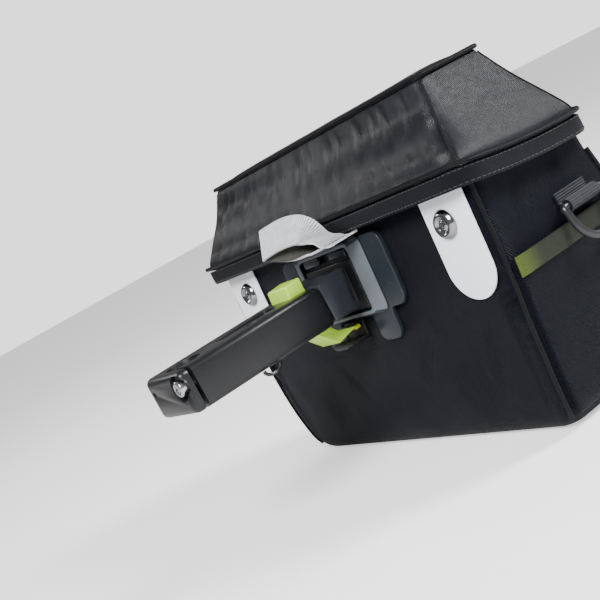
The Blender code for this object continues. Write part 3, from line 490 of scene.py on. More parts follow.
materials = {name: clothMaterial(name, look) for name, look in looks.items()}
materials.update({name: plasticMaterial(name, look) for name, look in hardLooks.items()})
# Painted light on the pocket band: from and to are the y places (m) over which it turns lime, as its rear end
# catches the light
bandPaintedLight = {"from": -0.024, "to": -0.047, "lime": (0.085, 0.125, 0.010)}


def paintedLightBandMaterial():
    # Dark olive band that turns lime towards its rear end: painted light, the rear end lit and the rest in
    # painted shade
    material = materials["greenWeb"].copy()
    material.name = "greenBandPaintedLight"
    tree = material.node_tree
    shader = tree.nodes["Principled BSDF"]
    place = tree.nodes.new("ShaderNodeTexCoord")
    split = tree.nodes.new("ShaderNodeSeparateXYZ")
    tree.links.new(place.outputs["Object"], split.inputs[0])
    fade = tree.nodes.new("ShaderNodeMapRange")
    fade.inputs["From Min"].default_value = bandPaintedLight["from"]
    fade.inputs["From Max"].default_value = bandPaintedLight["to"]
    tree.links.new(split.outputs["Y"], fade.inputs["Value"])
    before = shader.inputs["Base Color"].links[0].from_socket
    paintedLitColour = mixColour(tree, fade.outputs["Result"], before, bandPaintedLight["lime"])
    tree.links.new(paintedLitColour, shader.inputs["Base Color"])
    return material


materials["greenBandPaintedLight"] = paintedLightBandMaterial()
print("materials made")

# Bag body: height, half width, depth to the back and front, corner (mm), share of the hem's drop
bagBody = {
    "rows": (
        (0.0, 126.6, 37.0, 37.0, 10, 0.0),
        (2.1, 132.3, 41.0, 41.5, 10, 0.0),
        (6.9, 136.8, 44.5, 46.3, 10, 0.0),
        (15.5, 140.4, 47.0, 50.0, 10, 0.0),
        (32.7, 143.3, 48.5, 53.2, 10, 0.0),
        (51.6, 145.7, 48.8, 55.2, 10, 0.0),
        (68.8, 147.2, 48.6, 56.0, 10, 0.0),
        (82.6, 148.1, 47.4, 56.0, 10, 0.0),
        (91.2, 148.6, 46.7, 55.8, 10, 0.0),
        (103.2, 149.0, 45.8, 55.0, 10, 0.0),
        (117.0, 149.0, 44.7, 53.5, 10, 0.0),
        (132.4, 148.7, 43.5, 51.2, 10, 0.18),
        (149.6, 148.1, 42.2, 49.0, 10, 0.43),
        (162.4, 148.7, 44.2, 44.2, 20, 0.61),
        (172.8, 148.7, 44.2, 44.2, 20, 0.76),
    ),
    "wall": 2.0,
    "cells": (84, 26, 12),
    "rowCells": 11,
    "height": 172.0,
    "baseRings": (0.35, 0.7, 0.9),
    # Heights over which the dents fade in at the foot, and out under the hem (mm)
    "footFade": 14.0, "topFade": (148, 8),
    # Parts of the back that the holder and the tabs keep flat: place across, from and to, and height share
    "held": ((0.0, 0.45, 0.42), (0.66, 0.97, 0.48)), "heldCalm": 0.25,
    # Folds pressed in: face, place across, half width, height share, half height, depth (mm), slope
    "folds": (
        ("back", -0.93, 0.050, 0.42, 0.50, 1.5, 0.0), ("back", 0.93, 0.050, 0.42, 0.50, 1.5, 0.0),
        ("back", -0.52, 0.16, 0.22, 0.17, 1.4, 0.3), ("back", 0.55, 0.15, 0.20, 0.17, 1.5, -0.3),
        ("back", 0.05, 0.20, 0.17, 0.12, 0.9, 0.0), ("back", 0.30, 0.05, 0.33, 0.14, 0.7, 0.7),
        ("back", -0.28, 0.05, 0.30, 0.15, 0.7, -0.7), ("back", 0.72, 0.045, 0.30, 0.22, 0.8, 0.4),
        ("front", -0.60, 0.15, 0.45, 0.35, 1.6, 0.2), ("front", 0.62, 0.14, 0.52, 0.30, 1.4, -0.2),
        ("front", 0.05, 0.22, 0.28, 0.22, 1.2, 0.0), ("front", -0.22, 0.05, 0.40, 0.24, 0.9, 0.5),
        ("front", 0.33, 0.05, 0.35, 0.26, 0.9, -0.5),
        ("right", -0.35, 0.20, 0.76, 0.12, 1.4, 0.0), ("left", 0.35, 0.20, 0.76, 0.12, 1.4, 0.0),
        ("right", 0.30, 0.16, 0.78, 0.10, 1.2, 0.0), ("left", -0.30, 0.16, 0.78, 0.10, 1.2, 0.0),
    ),
    # Gathered strip down the back corners: from and to (share of the height), spacing and depth in mm
    "gathers": {"from": 0.26, "to": 0.66, "spacing": 8.0, "depth": 2.4},
    "ripple": {"size": 0.030, "depth": 0.9},
}

lid = {
    "halfWidth": 157.0, "halfDepth": 52.5, "corner": 20.0, "hemTop": 161.0, "top": 210.0,
    "inset": 27.0, "crown": 5.0, "drop": 9.0, "sag": 2.5, "wall": 2.0,
    "rows": ((0.00, 0.000), (0.10, 0.045), (0.24, 0.190), (0.42, 0.400),
             (0.60, 0.620), (0.78, 0.810), (0.92, 0.940), (1.00, 1.000)),
    "crownRows": ((0.97, 0.10), (0.90, 0.28), (0.80, 0.50), (0.60, 0.78), (0.45, 0.90), (0.30, 0.97),
                  (0.18, 1.00)),
    "cells": (110, 34, 12),
    "rowCells": 8,
    "cornerLeast": 8.0, "cornerShare": 0.8,
    # Puckers along the back: place across, half width, depth (mm), slope
    "puckers": ((-0.86, 0.035, 2.4, 0.5), (-0.74, 0.045, 1.9, -0.3), (-0.60, 0.05, 2.7, 0.4),
                (-0.47, 0.035, 1.8, -0.5), (-0.34, 0.05, 2.6, 0.3), (-0.20, 0.04, 1.9, -0.4),
                (-0.07, 0.05, 2.4, 0.5), (0.07, 0.035, 1.8, -0.3), (0.20, 0.05, 2.7, 0.4),
                (0.33, 0.04, 1.9, -0.4), (0.46, 0.05, 2.6, 0.3), (0.58, 0.035, 1.8, 0.5),
                (0.70, 0.045, 2.6, -0.4), (0.82, 0.035, 2.1, 0.3)),
    "ripple": {"size": 0.022, "depth": 0.8},
}

hem = {
    "height": 11.0, "wall": 1.9, "proud": 1.0, "top": 0.9, "seamOut": 0.12,
    "stitchLength": 2.3, "stitchGap": 1.0, "stitchRadius": 0.22, "stitchRows": (1.6, 9.4), "stitchSides": 5,
    # One stitch: share of its length, lift (mm) and share of its radius
    "stitchShape": ((0.0, -0.15, 0.35), (0.15, 0.1, 0.9), (0.5, 0.2, 1.0), (0.85, 0.1, 0.9),
                    (1.0, -0.15, 0.35)),
    # Share of the height, and how far out (mm)
    "profile": ((0.0, -0.75), (0.06, -0.25), (0.16, 0.0), (0.30, 0.12), (0.5, 0.18), (0.72, 0.10),
                (0.88, -0.02), (0.97, -0.3), (1.0, -0.6)),
}
piping = {"radius": 1.4, "sides": 12, "sunk": 0.3, "stand": 0.3, "topShare": 0.6, "rowFrom": 2, "rowCells": 4,
          "rowTo": {"front_right": 11, "front_left": 11, "back_left": 12, "back_right": 12}}


def ripple(point, size, depth):
    # Slow uneven dents, only ever inwards
    value = noise.noise(point / size) + 0.5 * noise.noise(point / (size * 0.45))
    return depth * mm * max(0.0, 0.5 + 0.5 * value)


def hemDrop(y, halfDepth):
    share = min(max((y + halfDepth) / (2 * halfDepth), 0.0), 1.0)
    return (lid["drop"] * share + lid["sag"] * math.sin(math.pi * share)) * mm


def sectionAt(place):
    # Body section between the rows; place counts rows
    rows = bagBody["rows"]
    i = min(int(place), len(rows) - 2)
    t = place - i
    picked = [rows[max(0, min(len(rows) - 1, i + k))] for k in (-1, 0, 1, 2)]
    return [curveValue(a, b, c, d, t) for a, b, c, d in zip(*picked)]


def gatherDepth(share):
    # Puckers of the gathered strip, deepest in its middle
    gathers = bagBody["gathers"]
    middle = (gathers["from"] + gathers["to"]) / 2
    turn = 2 * math.pi * share * bagBody["height"] / gathers["spacing"]
    wave = 0.5 + 0.5 * math.cos(turn + 2.0 * math.sin(share * 40))
    return gathers["depth"] * mm * bump01((share - middle) / (middle - gathers["from"])) * wave ** 0.7


def bodyDent(face, across, share, point):
    dent = 0.0
    for where, middle, half, level, reach, depth, slope in bagBody["folds"]:
        if where == face:
            shifted = across - middle - slope * (share - level)
            dent += depth * mm * bump01(shifted / half) * bump01((share - level) / reach)
    calm = 1.0
    for inner, outer, level in bagBody["held"]:
        if face == "back" and (inner == 0 or inner < abs(across)) and abs(across) < outer and share > level:
            calm = bagBody["heldCalm"]
    if face == "corner" and 2.0 <= across <= 4.0:
        near = across - 2.0 if across < 3.0 else 4.0 - across  # 1 where the corner meets the back
        dent += gatherDepth(share) * min(1.0, max(0.0, near - 0.45) / 0.25)
    if face == "back":
        dent += gatherDepth(share) * min(1.0, max(0.0, abs(across) - 0.90) / 0.03)
    return dent + calm * ripple(point, **bagBody["ripple"])


def bodyRow(place):
    # Points and outward normals of one row round the body's outer face
    z, width, back, front, corner, dropShare = sectionAt(place)
    share = z / bagBody["height"]
    fadeFrom, fadeOver = bagBody["topFade"]
    ring = []
    for spot, normal, face, across in roundedRing(width * mm, back * mm, corner * mm, bagBody["cells"]):
        point = Vector((spot.x, spot.y, z * mm))
        fade = min(1.0, z / bagBody["footFade"])
        fade *= 1.0 if z < fadeFrom else max(0.0, 1 - (z - fadeFrom) / fadeOver)
        here = spot - normal * bodyDent(face, across, share, point) * fade
        y = here.y * front / back if here.y > 0 else here.y
        drop = hemDrop(spot.y, back * mm) * dropShare
        ring.append((Vector((here.x, y, z * mm - drop)), Vector((normal.x, normal.y, 0)), face, across))
    return ring


def makeBody():
    rows = []
    base = [entry[0] for entry in bodyRow(0)]
    for share in bagBody["baseRings"]:
        rows.append([Vector((p.x * share, p.y * share, 0.0)) for p in base])
    steps = (len(bagBody["rows"]) - 1) * bagBody["rowCells"]
    for step in range(steps + 1):
        rows.append([entry[0] for entry in bodyRow(step / bagBody["rowCells"])])
    piece = gridPiece("clothBody", rows, flatSpots(rows, True), closed=True, capFirst=True)
    thicken(piece, bagBody["wall"] * mm)
    smooth(piece, 50)
    dress(piece, materials["nylon"], "nylon", "bag", "bag_body")
    return piece


def lidInset(share):
    rows = lid["rows"]
    for i in range(len(rows) - 1):
        (low, insetLow), (high, insetHigh) = rows[i], rows[i + 1]
        if share <= high:
            before, after = rows[max(i - 1, 0)], rows[min(i + 2, len(rows) - 1)]
            t = (share - low) / (high - low)
            slopeLow = (insetHigh - before[1]) / max(high - before[0], 0.01) * (high - low)
            slopeHigh = (after[1] - insetLow) / max(after[0] - low, 0.01) * (high - low)
            return ((2 * t ** 3 - 3 * t ** 2 + 1) * insetLow + (t ** 3 - 2 * t ** 2 + t) * slopeLow
                    + (3 * t ** 2 - 2 * t ** 3) * insetHigh + (t ** 3 - t ** 2) * slopeHigh)
    return 1.0


def puckerDepth(across, share):
    # Puckers start at either seam and die out in the panel
    depthHere = 0.0
    for middle, half, depth, slope in lid["puckers"]:
        aside = across - middle
        high = bump01((aside - slope * 0.06 * share) / half) * bump01((share - 0.72) / 0.34)
        low = bump01((aside - 0.06 + slope * 0.05 * share) / (half * 0.8)) * bump01((share - 0.20) / 0.24)
        depthHere += depth * mm * (high + 0.6 * low)
    return depthHere


def lidRing(share, inset, proud=0.0, dents=True):
    corner = min(max(lid["corner"] - 0.5 * inset, lid["cornerLeast"]),
                 lid["cornerShare"] * (lid["halfDepth"] - inset))
    halfWidth, halfDepth = (lid["halfWidth"] - inset + proud) * mm, (lid["halfDepth"] - inset + proud) * mm
    ring = []
    for spot, normal, face, across in roundedRing(halfWidth, halfDepth, corner * mm, lid["cells"]):
        dent = 0.0
        if dents and inset <= lid["inset"]:
            if face in ("back", "front"):
                dent += puckerDepth(across, share)
            middle = max(0.0, math.sin(math.pi * min(max(share, 0.0), 1.0)))
            dent += middle * ripple(Vector((spot.x, spot.y, share * 0.05)), **lid["ripple"])
        here = spot - normal * dent
        drop = hemDrop(spot.y, lid["halfDepth"] * mm) * (1 - share)
        rise = (lid["hemTop"] + (lid["top"] - lid["hemTop"]) * share) * mm
        ring.append(Vector((here.x, here.y, rise - drop)))
    return ring


def makeLid():
    rows = []
    steps = (len(lid["rows"]) - 1) * lid["rowCells"]
    for step in range(steps + 1):
        share = step / steps
        rows.append(lidRing(share, lid["inset"] * lidInset(share)))
    topHalf = lid["halfDepth"] - lid["inset"]
    for left, rise in lid["crownRows"]:
        ring = lidRing(1.0, lid["inset"] + topHalf * (1 - left))
        lifts = [(lid["crown"] * rise) * mm - ripple(p, 0.05, 1.0) * rise for p in ring]
        rows.append([p + Vector((0, 0, lift)) for p, lift in zip(ring, lifts)])
    piece = gridPiece("clothLid", rows, panelSpots(rows, lid["cells"]), closed=True, capLast=True)
    thicken(piece, lid["wall"] * mm)
    smooth(piece, 50)
    dress(piece, materials["lidNylon"], "lid_nylon", "bag", "lid_shell")
    return piece


def makeStitches(name, line, normals, look):
    # Short thread stitches along a closed line, each a bent little rod
    lengths = lengthsAlong(line, closed=True)
    step = (look["stitchLength"] + look["stitchGap"]) * mm
    count = int(lengths[-1] / step)
    sides = look["stitchSides"]
    mesh = bmesh.new()
    layer = mesh.loops.layers.uv.new("cloth")
    place = 0

    def pointAt(distance):
        nonlocal place
        while place < len(line) - 1 and lengths[place + 1] < distance:
            place += 1
        t = (distance - lengths[place]) / max(lengths[place + 1] - lengths[place], 1e-9)
        after = (place + 1) % len(line)
        return line[place].lerp(line[after], t), normals[place]

    for k in range(count):
        start = k * step
        path = []
        for share, lift, _ in look["stitchShape"]:
            point, normal = pointAt(start + share * look["stitchLength"] * mm)
            path.append(point + normal * lift * mm)
        way = (path[-1] - path[0]).normalized()
        side = way.cross(normals[place]).normalized()
        rings = []
        for (_, _, share), point in zip(look["stitchShape"], path):
            ring = []
            for corner in range(sides):
                angle = 2 * math.pi * corner / sides
                reach = look["stitchRadius"] * mm * share
                way = side * math.cos(angle) + normals[place] * math.sin(angle)
                ring.append(mesh.verts.new(point + way * reach))
            rings.append(ring)
        for low, high in zip(rings, rings[1:]):
            for i in range(sides):
                j = (i + 1) % sides
                face = mesh.faces.new((low[i], low[j], high[j], high[i]))
                for loop in face.loops:
                    loop[layer].uv = (loop.vert.co.x, loop.vert.co.z)
        mesh.faces.new(rings[0][::-1])
        mesh.faces.new(rings[-1])
    data = bpy.data.meshes.new(name)
    mesh.to_mesh(data)
    mesh.free()
    piece = addObject(name, data)
    fixNormals(piece)
    smooth(piece, 60)
    return dress(piece, materials["thread"], "binding", "bag")


def ringNormals(line):
    pairs = zip([line[-1]] + line[:-1], line[1:] + line[:1])
    return [Vector(((b - a).y, -(b - a).x, 0)).normalized() for a, b in pairs]


def makeHem():
    # Bound edge with a soft roll at its foot and top, and two rows of stitches
    rows = []
    line = lidRing(0.0, 0.0, hem["proud"], dents=False)
    normals = ringNormals(line)
    top = hem["top"] * mm
    for share, out in hem["profile"]:
        drop = (hem["height"] * mm) * (1 - share) + top * share
        rows.append([p - Vector((0, 0, drop)) + n * (out * mm) for p, n in zip(line, normals)])
    piece = gridPiece("hemBand", rows, flatSpots(rows, True), closed=True)
    thicken(piece, hem["wall"] * mm)
    smooth(piece, 60)
    dress(piece, materials["binding"], "binding", "bag", "lid_hem")
    for k, height in enumerate(hem["stitchRows"]):
        seam = [p - Vector((0, 0, height * mm)) + n * (hem["seamOut"] * mm) for p, n in zip(line, normals)]
        makeStitches("hemStitches" + "AB"[k], seam, normals, hem)
    return piece


def makePiping():
    radius, stand = piping["radius"], piping["stand"]
    for name, node, share, inset, proud in (
            ("hemPiping", "hem_piping", 0.0, 0.0, radius + stand),
            ("topPiping", "lid_top_piping", 1.0, lid["inset"], piping["topShare"] * radius)):
        ring = lidRing(share, inset, proud, dents=False)
        line = [p + Vector((0, 0, (radius + stand) * mm)) for p in ring]
        piece = sweep(name, line, radius * mm, closed=True, sides=piping["sides"])
        smooth(piece, 60)
        dress(piece, materials["binding"], "binding", "bag", node)
    cells = piping["rowCells"]
    for start, (name, last) in zip(cornerColumns(bagBody["cells"]), piping["rowTo"].items()):
        points = []
        for step in range(piping["rowFrom"] * cells, last * cells + 1):
            point, normal = bodyRow(step / cells)[start + bagBody["cells"][2] // 2][:2]
            points.append(point + normal * (radius - piping["sunk"]) * mm)
        piece = sweep("cornerPiping_" + name, points, radius * mm, sides=piping["sides"])
        smooth(piece, 60)
        dress(piece, materials["binding"], "binding", "bag", "corner_piping_" + name)


hipSeam = {"radius": 0.7, "from": 0.03, "to": 0.97, "steps": 40, "sides": 10, "proud": 0.25}


def makeHipSeams():
    # Sewn ridge down each corner of the lid, between the puckered panels and the smooth ends
    for start, word in zip(cornerColumns(lid["cells"]), piping["rowTo"]):
        points = []
        for step in range(hipSeam["steps"] + 1):
            share = hipSeam["from"] + (hipSeam["to"] - hipSeam["from"]) * step / hipSeam["steps"]
            ring = lidRing(share, lid["inset"] * lidInset(share))
            spot = ring[start + lid["cells"][2] // 2]
            outward = Vector((spot.x, spot.y * 2.5, 0)).normalized()
            points.append(spot + outward * hipSeam["proud"] * mm)
        piece = sweep("hipSeam_" + word, points, hipSeam["radius"] * mm, sides=hipSeam["sides"])
        smooth(piece, 60)
        dress(piece, materials["binding"], "lid_nylon", "bag")


pocket = {
    "rows": (2, 9), "steps": 56, "wall": 1.3, "stand": 0.3, "belly": 1.4,
    "seam": 1.3, "seamShare": 0.35, "seamWidth": 0.03,
    "bandRows": (8.02, 8.98), "bandSteps": 14, "bandWall": 1.1, "bandStand": 3.1, "bandRoll": 0.25,
}


def sidePatch(rowFrom, rowTo, side, stand, steps):
    # Rows of points over one side of the body, from corner to corner
    shortCells, arcCells = bagBody["cells"][1:]
    start = cornerColumns(bagBody["cells"])[3 if side > 0 else 1]
    rows = []
    for step in range(steps + 1):
        up = step / steps
        ring = bodyRow(rowFrom + (rowTo - rowFrom) * up)
        count = len(ring)
        first, last = start + arcCells * 3 // 4, start + arcCells + shortCells + arcCells // 4
        row = []
        for k in range(first, last + 1):
            point, normal = ring[k % count][:2]
            share = (k - first) / (last - first)
            row.append(point + normal * stand(share, up) * mm)
        rows.append(row)
    return rows


def makePocket(side, word):
    def belly(share, up):
        return pocket["belly"] * math.sin(math.pi * share) * min(up, 1.0)

    def pocketStand(share, up):
        edge = min(share, 1 - share, up if up < 0.5 else 1.0)
        rise = min(1.0, pocket["seamShare"] + edge / pocket["seamWidth"])
        return pocket["stand"] + pocket["seam"] * rise + belly(share, up)

    rows = sidePatch(*pocket["rows"], side, pocketStand, pocket["steps"])
    piece = gridPiece("sidePocket_" + word, rows, flatSpots(rows, False))
    thicken(piece, pocket["wall"] * mm)
    smooth(piece, 50)
    dress(piece, materials["nylon"], "nylon", "bag", "side_pocket_" + word)

    def bandStand(share, up):
        edge = min(up, 1 - up, 0.1) / 0.1
        return pocket["bandStand"] + belly(share, 1.0) + pocket["bandRoll"] * edge

    rows = sidePatch(*pocket["bandRows"], side, bandStand, pocket["bandSteps"])
    piece = gridPiece("pocketBand_" + word, rows, flatSpots(rows, False))
    thicken(piece, pocket["bandWall"] * mm)
    smooth(piece, 50)
    # The band's material carries painted light: lime at its rear end as if lit, dark olive in painted shade
    dress(piece, materials["greenBandPaintedLight"], "green_web", "bag", "pocket_band_" + word)


makeBody()
makeLid()
makeHem()
makePiping()
makeHipSeams()
for side, word in ((1, "right"), (-1, "left")):
    makePocket(side, word)
print("cloth shells made")

def addSecondLook(piece, look, picked):
    # A second material on the faces that the test picks
    piece.data.materials.append(materials[look])
    for face in piece.data.polygons:
        if picked(face):
            face.material_index = 1


strap = {
    "seatY": -59.0, "reach": 48.0, "out": 10.0, "rise": 18.0, "width": 20.0, "wall": 1.4,
    "seatHeight": 148.7,
    # Shares of reach, out and rise, and the width's slope in degrees
    "route": ((0.96, 0.00, 0.00, 0), (0.93, 0.06, 0.00, 0), (0.90, 0.26, 0.00, -1),
              (0.86, 0.58, 0.07, -4), (0.78, 0.64, 0.22, -9), (0.68, 0.74, 0.32, -10),
              (0.58, 0.75, 0.42, -4), (0.52, 0.77, 0.58, 10), (0.47, 0.87, 0.76, 28),
              (0.37, 1.02, 0.92, 45), (0.17, 1.14, 1.00, 56), (-0.07, 1.18, 1.00, 60),
              (-0.29, 1.19, 0.96, 62), (-0.46, 1.22, 0.92, 64), (-0.55, 1.18, 0.88, 66),
              (-0.51, 1.07, 0.82, 66), (-0.34, 1.02, 0.71, 63), (-0.14, 0.94, 0.57, 57),
              (0.10, 0.80, 0.40, 42), (0.33, 0.62, 0.21, 20), (0.49, 0.60, 0.07, 4),
              (0.57, 0.46, 0.00, 0), (0.62, 0.14, 0.00, 0), (0.70, 0.00, 0.00, 0)),
    "ribPitch": 1.25, "ribDepth": 0.30, "ribbedHalf": 0.45, "ribSteps": 6, "cellsAcross": 24,
}

arm = {
    "place": (0.0, -170.0, 117.0), "half": 25.0, "rear": 18.0, "reach": 91.5, "bottom": -13.0, "top": 13.5,
    "tube": 11.1, "edge": 4.2, "slitFrom": 11.0, "slitWidth": 2.6, "boltX": 17.5, "boltZ": 4.0,
    "recess": 8.0, "recessDeep": 3.6, "pin": 1.6, "pinDeep": 6, "shank": 2.8, "shankTo": 4,
    "hollowWall": 4, "hollowFrom": 7, "hollowTo": 78.5, "roof": 9, "past": 30, "outside": 40,
    # Half width, and from and to along the arm; then the channel's depth and corner
    "stemSlot": (5.3, 82.2, 88.8), "channel": (8, 27, 69), "channelDeep": 5, "channelCorner": 4.0,
    # The last entry is the depth (mm) of the painted highlight on the arm's edge next to the head
    "buttonGap": 0.5, "buttonFrontGap": 0.4, "buttonSeat": 4.3, "edgeRound": 0.5, "highlightWidth": 0.45,
}

button = {"half": 12.0, "rear": 76.6, "length": 13.4, "foot": 11.9, "height": 10.5, "lean": 1}
ringLook = {"wire": 2.4, "half": 15.6, "leg": 7.4, "lean": 15.0, "place": (155.4, 18.0, 111.0),
            "square": 0.72, "barSteps": 24, "arcSteps": 64}
loopLook = {"width": 25.0, "wall": 1.3, "tail": 8.0, "out": 6.4, "gap": 0.3, "slack": 0.2, "rib": 0.18,
            "ribPitch": 1.4, "tailSteps": 14, "turnFrom": 150, "turn": 285, "turnSteps": 96, "cells": 20}
tabLook = {"width": 38.6, "length": 62.0, "wall": 1.6, "middle": 122.0, "top": 149.0, "stand": 0.3,
           "arcSteps": 40}
studLook = {
    "radius": 8.9, "height": 3.3, "place": 118.8, "level": 133.2, "gap": 0.6, "sides": 64,
    # Shares of the radius and of the height
    "profile": ((0.0, 0.62), (0.10, 0.62), (0.12, 0.80), (0.20, 0.86), (0.28, 0.78), (0.33, 0.60),
                (0.40, 0.55), (0.46, 0.66), (0.55, 0.92), (0.64, 1.0), (0.74, 0.94), (0.84, 0.74),
                (0.92, 0.48), (0.98, 0.24), (1.0, 0.08), (0.99, 0.0), (0.0, 0.0)),
}


def makeStrap():
    seat = Vector((0, strap["seatY"], strap["seatHeight"])) * mm
    places, slopes = [], []
    for along, out, rise, slope in strap["route"]:
        places.append(seat + Vector((along * strap["reach"], -out * strap["out"], rise * strap["rise"])) * mm)
        slopes.append(Vector((slope, 0, 0)))
    line, turns = smoothLine(places, 40), smoothLine(slopes, 40)
    # Even steps along the webbing, so that its ribs stay even
    lengths = lengthsAlong(line)
    steps = int(lengths[-1] / (strap["ribPitch"] * mm / strap["ribSteps"]))
    shares = [k / strap["cellsAcross"] for k in range(strap["cellsAcross"] + 1)]
    rows, spots = [], []
    place = 0
    for step in range(steps + 1):
        distance = lengths[-1] * step / steps
        while place < len(line) - 2 and lengths[place + 1] < distance:
            place += 1
        t = (distance - lengths[place]) / (lengths[place + 1] - lengths[place])
        point, turn = line[place].lerp(line[place + 1], t), turns[place].lerp(turns[place + 1], t)
        angle = math.radians(turn.x)
        across = Vector((0, math.cos(angle), math.sin(angle)))
        width = across * strap["width"] * mm
        rows.append([point + width * (share - 0.5) for share in shares])
        spots.append([(distance, strap["width"] * mm * share) for share in shares])
    piece = gridPiece("pullStrap", rows, spots)
    faces = len(piece.data.polygons)
    thicken(piece, strap["wall"] * mm, offset=0)
    # Ribs sink in between the flat edges, on both sides of the webbing
    columns = len(shares)
    normals = [vertex.normal.copy() for vertex in piece.data.vertices]
    for vertex, normal in zip(piece.data.vertices, normals):
        step, k = divmod(vertex.index % (len(rows) * columns), columns)
        if abs(shares[k] - 0.5) < strap["ribbedHalf"]:
            rib = math.sin(2 * math.pi * spots[step][0][0] / (strap["ribPitch"] * mm))
            vertex.co += normal * ((rib - 1) / 2 * strap["ribDepth"] * mm)
    smooth(piece, 70)
    dress(piece, materials["whiteWeb"], "white_web", "bag", "pull_strap")
    # The side that the fold turns inwards is dark
    addSecondLook(piece, "shadeWeb", lambda face: faces <= face.index < 2 * faces)
    print("strap length", round(lengths[-1], 4))


def copyNode(node, name, edge, segments=3):
    # A copy of a CAD piece with finer rounded edges
    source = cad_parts[node]
    piece = addObject(name, source.data.copy())
    editMesh(piece, mergeClose, (bpy.ops.mesh.dissolve_limited, {"angle_limit": math.radians(1.0)}))
    if edge:
        roundEdges(piece, edge, segments)
    smooth(piece, 35)
    return piece


def addBox(name, low, high):
    deselectAll()
    low, high = Vector(low) * mm, Vector(high) * mm
    bpy.ops.mesh.primitive_cube_add(size=1, location=(low + high) / 2, scale=high - low)
    piece = bpy.context.active_object
    piece.name = name
    settle(piece)
    return piece


def addRod(name, radius, start, end, sides=48):
    deselectAll()
    start, end = Vector(start) * mm, Vector(end) * mm
    axis = end - start
    turn = axis.to_track_quat("Z", "Y").to_euler()
    bpy.ops.mesh.primitive_cylinder_add(vertices=sides, radius=radius * mm, depth=axis.length,
                                        location=(start + end) / 2, rotation=turn)
    piece = bpy.context.active_object
    piece.name = name
    settle(piece)
    return piece


def roundEdges(piece, width, segments=4, angle=30):
    bevel = piece.modifiers.new("edges", "BEVEL")
    bevel.width = width * mm
    bevel.segments = segments
    bevel.limit_method = "ANGLE"
    bevel.angle_limit = math.radians(angle)
    bevel.use_clamp_overlap = True
    applyModifiers(piece)


def carve(piece, cutter):
    boolean = piece.modifiers.new("carve", "BOOLEAN")
    boolean.operation = "DIFFERENCE"
    boolean.solver = "EXACT"
    boolean.object = cutter
    applyModifiers(piece)
    bpy.data.objects.remove(cutter, do_unlink=True)


def shift(point):
    return tuple(a + b for a, b in zip(point, arm["place"]))


def makeArm():
    a = arm
    x, z, past, outside = a["boltX"], a["boltZ"], a["past"], a["outside"]
    low, high = shift((-a["half"], -a["rear"], a["bottom"])), shift((a["half"], a["reach"], a["top"]))
    piece = addBox("holderArm", low, high)
    roundEdges(piece, a["edge"], 6)
    side, gap = button["half"] + a["buttonGap"], a["buttonGap"]
    buttonFront = button["rear"] + button["length"]
    # Rods: name, radius, x and height, from and to along the arm, sides
    rods = (("recess", a["recess"], x, -outside, a["recessDeep"] - a["rear"], 64),
            ("shank", a["shank"], x, -outside, a["shankTo"], 24),
            ("pin", a["pin"], -x, -outside, a["pinDeep"] - a["rear"], 24))
    # Boxes: name, low corner, high corner
    stemHalf, stemFrom, stemTo = a["stemSlot"]
    boxes = (("hollow", (a["hollowWall"] - a["half"], a["tube"] + a["hollowFrom"], -past),
              (a["half"] - a["hollowWall"], a["hollowTo"], a["top"] - a["roof"])),
             ("buttonSlot", (-side, button["rear"] - gap, button["foot"] - a["buttonSeat"]),
              (side, buttonFront + a["buttonFrontGap"], outside)),
             ("stemSlot", (-stemHalf, stemFrom, -past), (stemHalf, stemTo, past)))
    cuts = [addRod("bore", a["tube"], shift((0, 0, -past)), shift((0, 0, past)), 96),
            addBox("slit", shift((0, -a["slitFrom"], -past)),
                   shift((outside, a["slitWidth"] - a["slitFrom"], past)))]
    cuts += [addRod(name, radius, shift((across, start, z)), shift((across, end, z)), sides)
             for name, radius, across, start, end, sides in rods]
    cuts += [addBox(name, shift(low), shift(high)) for name, low, high in boxes]
    half, start, end = a["channel"]
    foot = a["top"] - a["channelDeep"]
    channel = addBox("channel", shift((-half, start, foot)), shift((half, end, outside)))
    roundEdges(channel, a["channelCorner"], 4)
    cuts.append(channel)
    for cutter in cuts:
        carve(piece, cutter)
    fixNormals(piece)
    roundEdges(piece, a["edgeRound"], 2, 40)
    smooth(piece, 40)
    dress(piece, materials["armBlack"], "arm_black", "bag", "stem_arm")
    highlightFrom = shift((0, a["reach"] - a["highlightWidth"], 0))[1] * mm
    # Painted highlight: a lighter band on the arm's edge next to the head
    addSecondLook(piece, "armEdgeHighlight", lambda face: face.center.y > highlightFrom and abs(face.normal.y) < 0.95)


def turned(name, profile, sides=48):
    # Turned piece: radius and height pairs in mm, round the Z axis
    mesh = bpy.data.meshes.new(name)
    edges = [(i, i + 1) for i in range(len(profile) - 1)]
    mesh.from_pydata([(r * mm, 0, z * mm) for r, z in profile], edges, [])
    piece = addObject(name, mesh)
    editMesh(piece, (bpy.ops.mesh.spin, {"steps": sides, "angle": 2 * math.pi, "center": (0, 0, 0),
                                         "axis": (0, 0, 1)}))
    fixNormals(piece)
    smooth(piece, 40)
    return piece


def standOut(piece, place, tilt):
    # Turns a piece made round Z to point out of the back panel
    piece.location = place
    piece.rotation_euler.x = tilt
    settle(piece)


# Clamp screw: radius and height pairs (mm), round its axis
bolt = {
    "gap": 0.3, "sides": 48,
    "profile": ((0, 2.0), (2.3, 2.0), (2.5, 2.2), (2.5, 3.9), (2.7, 4.05), (4.0, 4.05), (4.6, 3.8),
                (5.0, 3.2), (5.0, 0.0), (2.5, 0.0), (2.5, -17.2), (0, -17.2)),
}


def makeBolt():
    piece = turned("clampScrew", bolt["profile"], bolt["sides"])
    place = Vector(shift((arm["boltX"], arm["recessDeep"] - arm["rear"] - bolt["gap"], arm["boltZ"]))) * mm
    standOut(piece, place, math.radians(90))
    dress(piece, materials["boltSteel"], "chrome", "bag", "clamp_bolt")


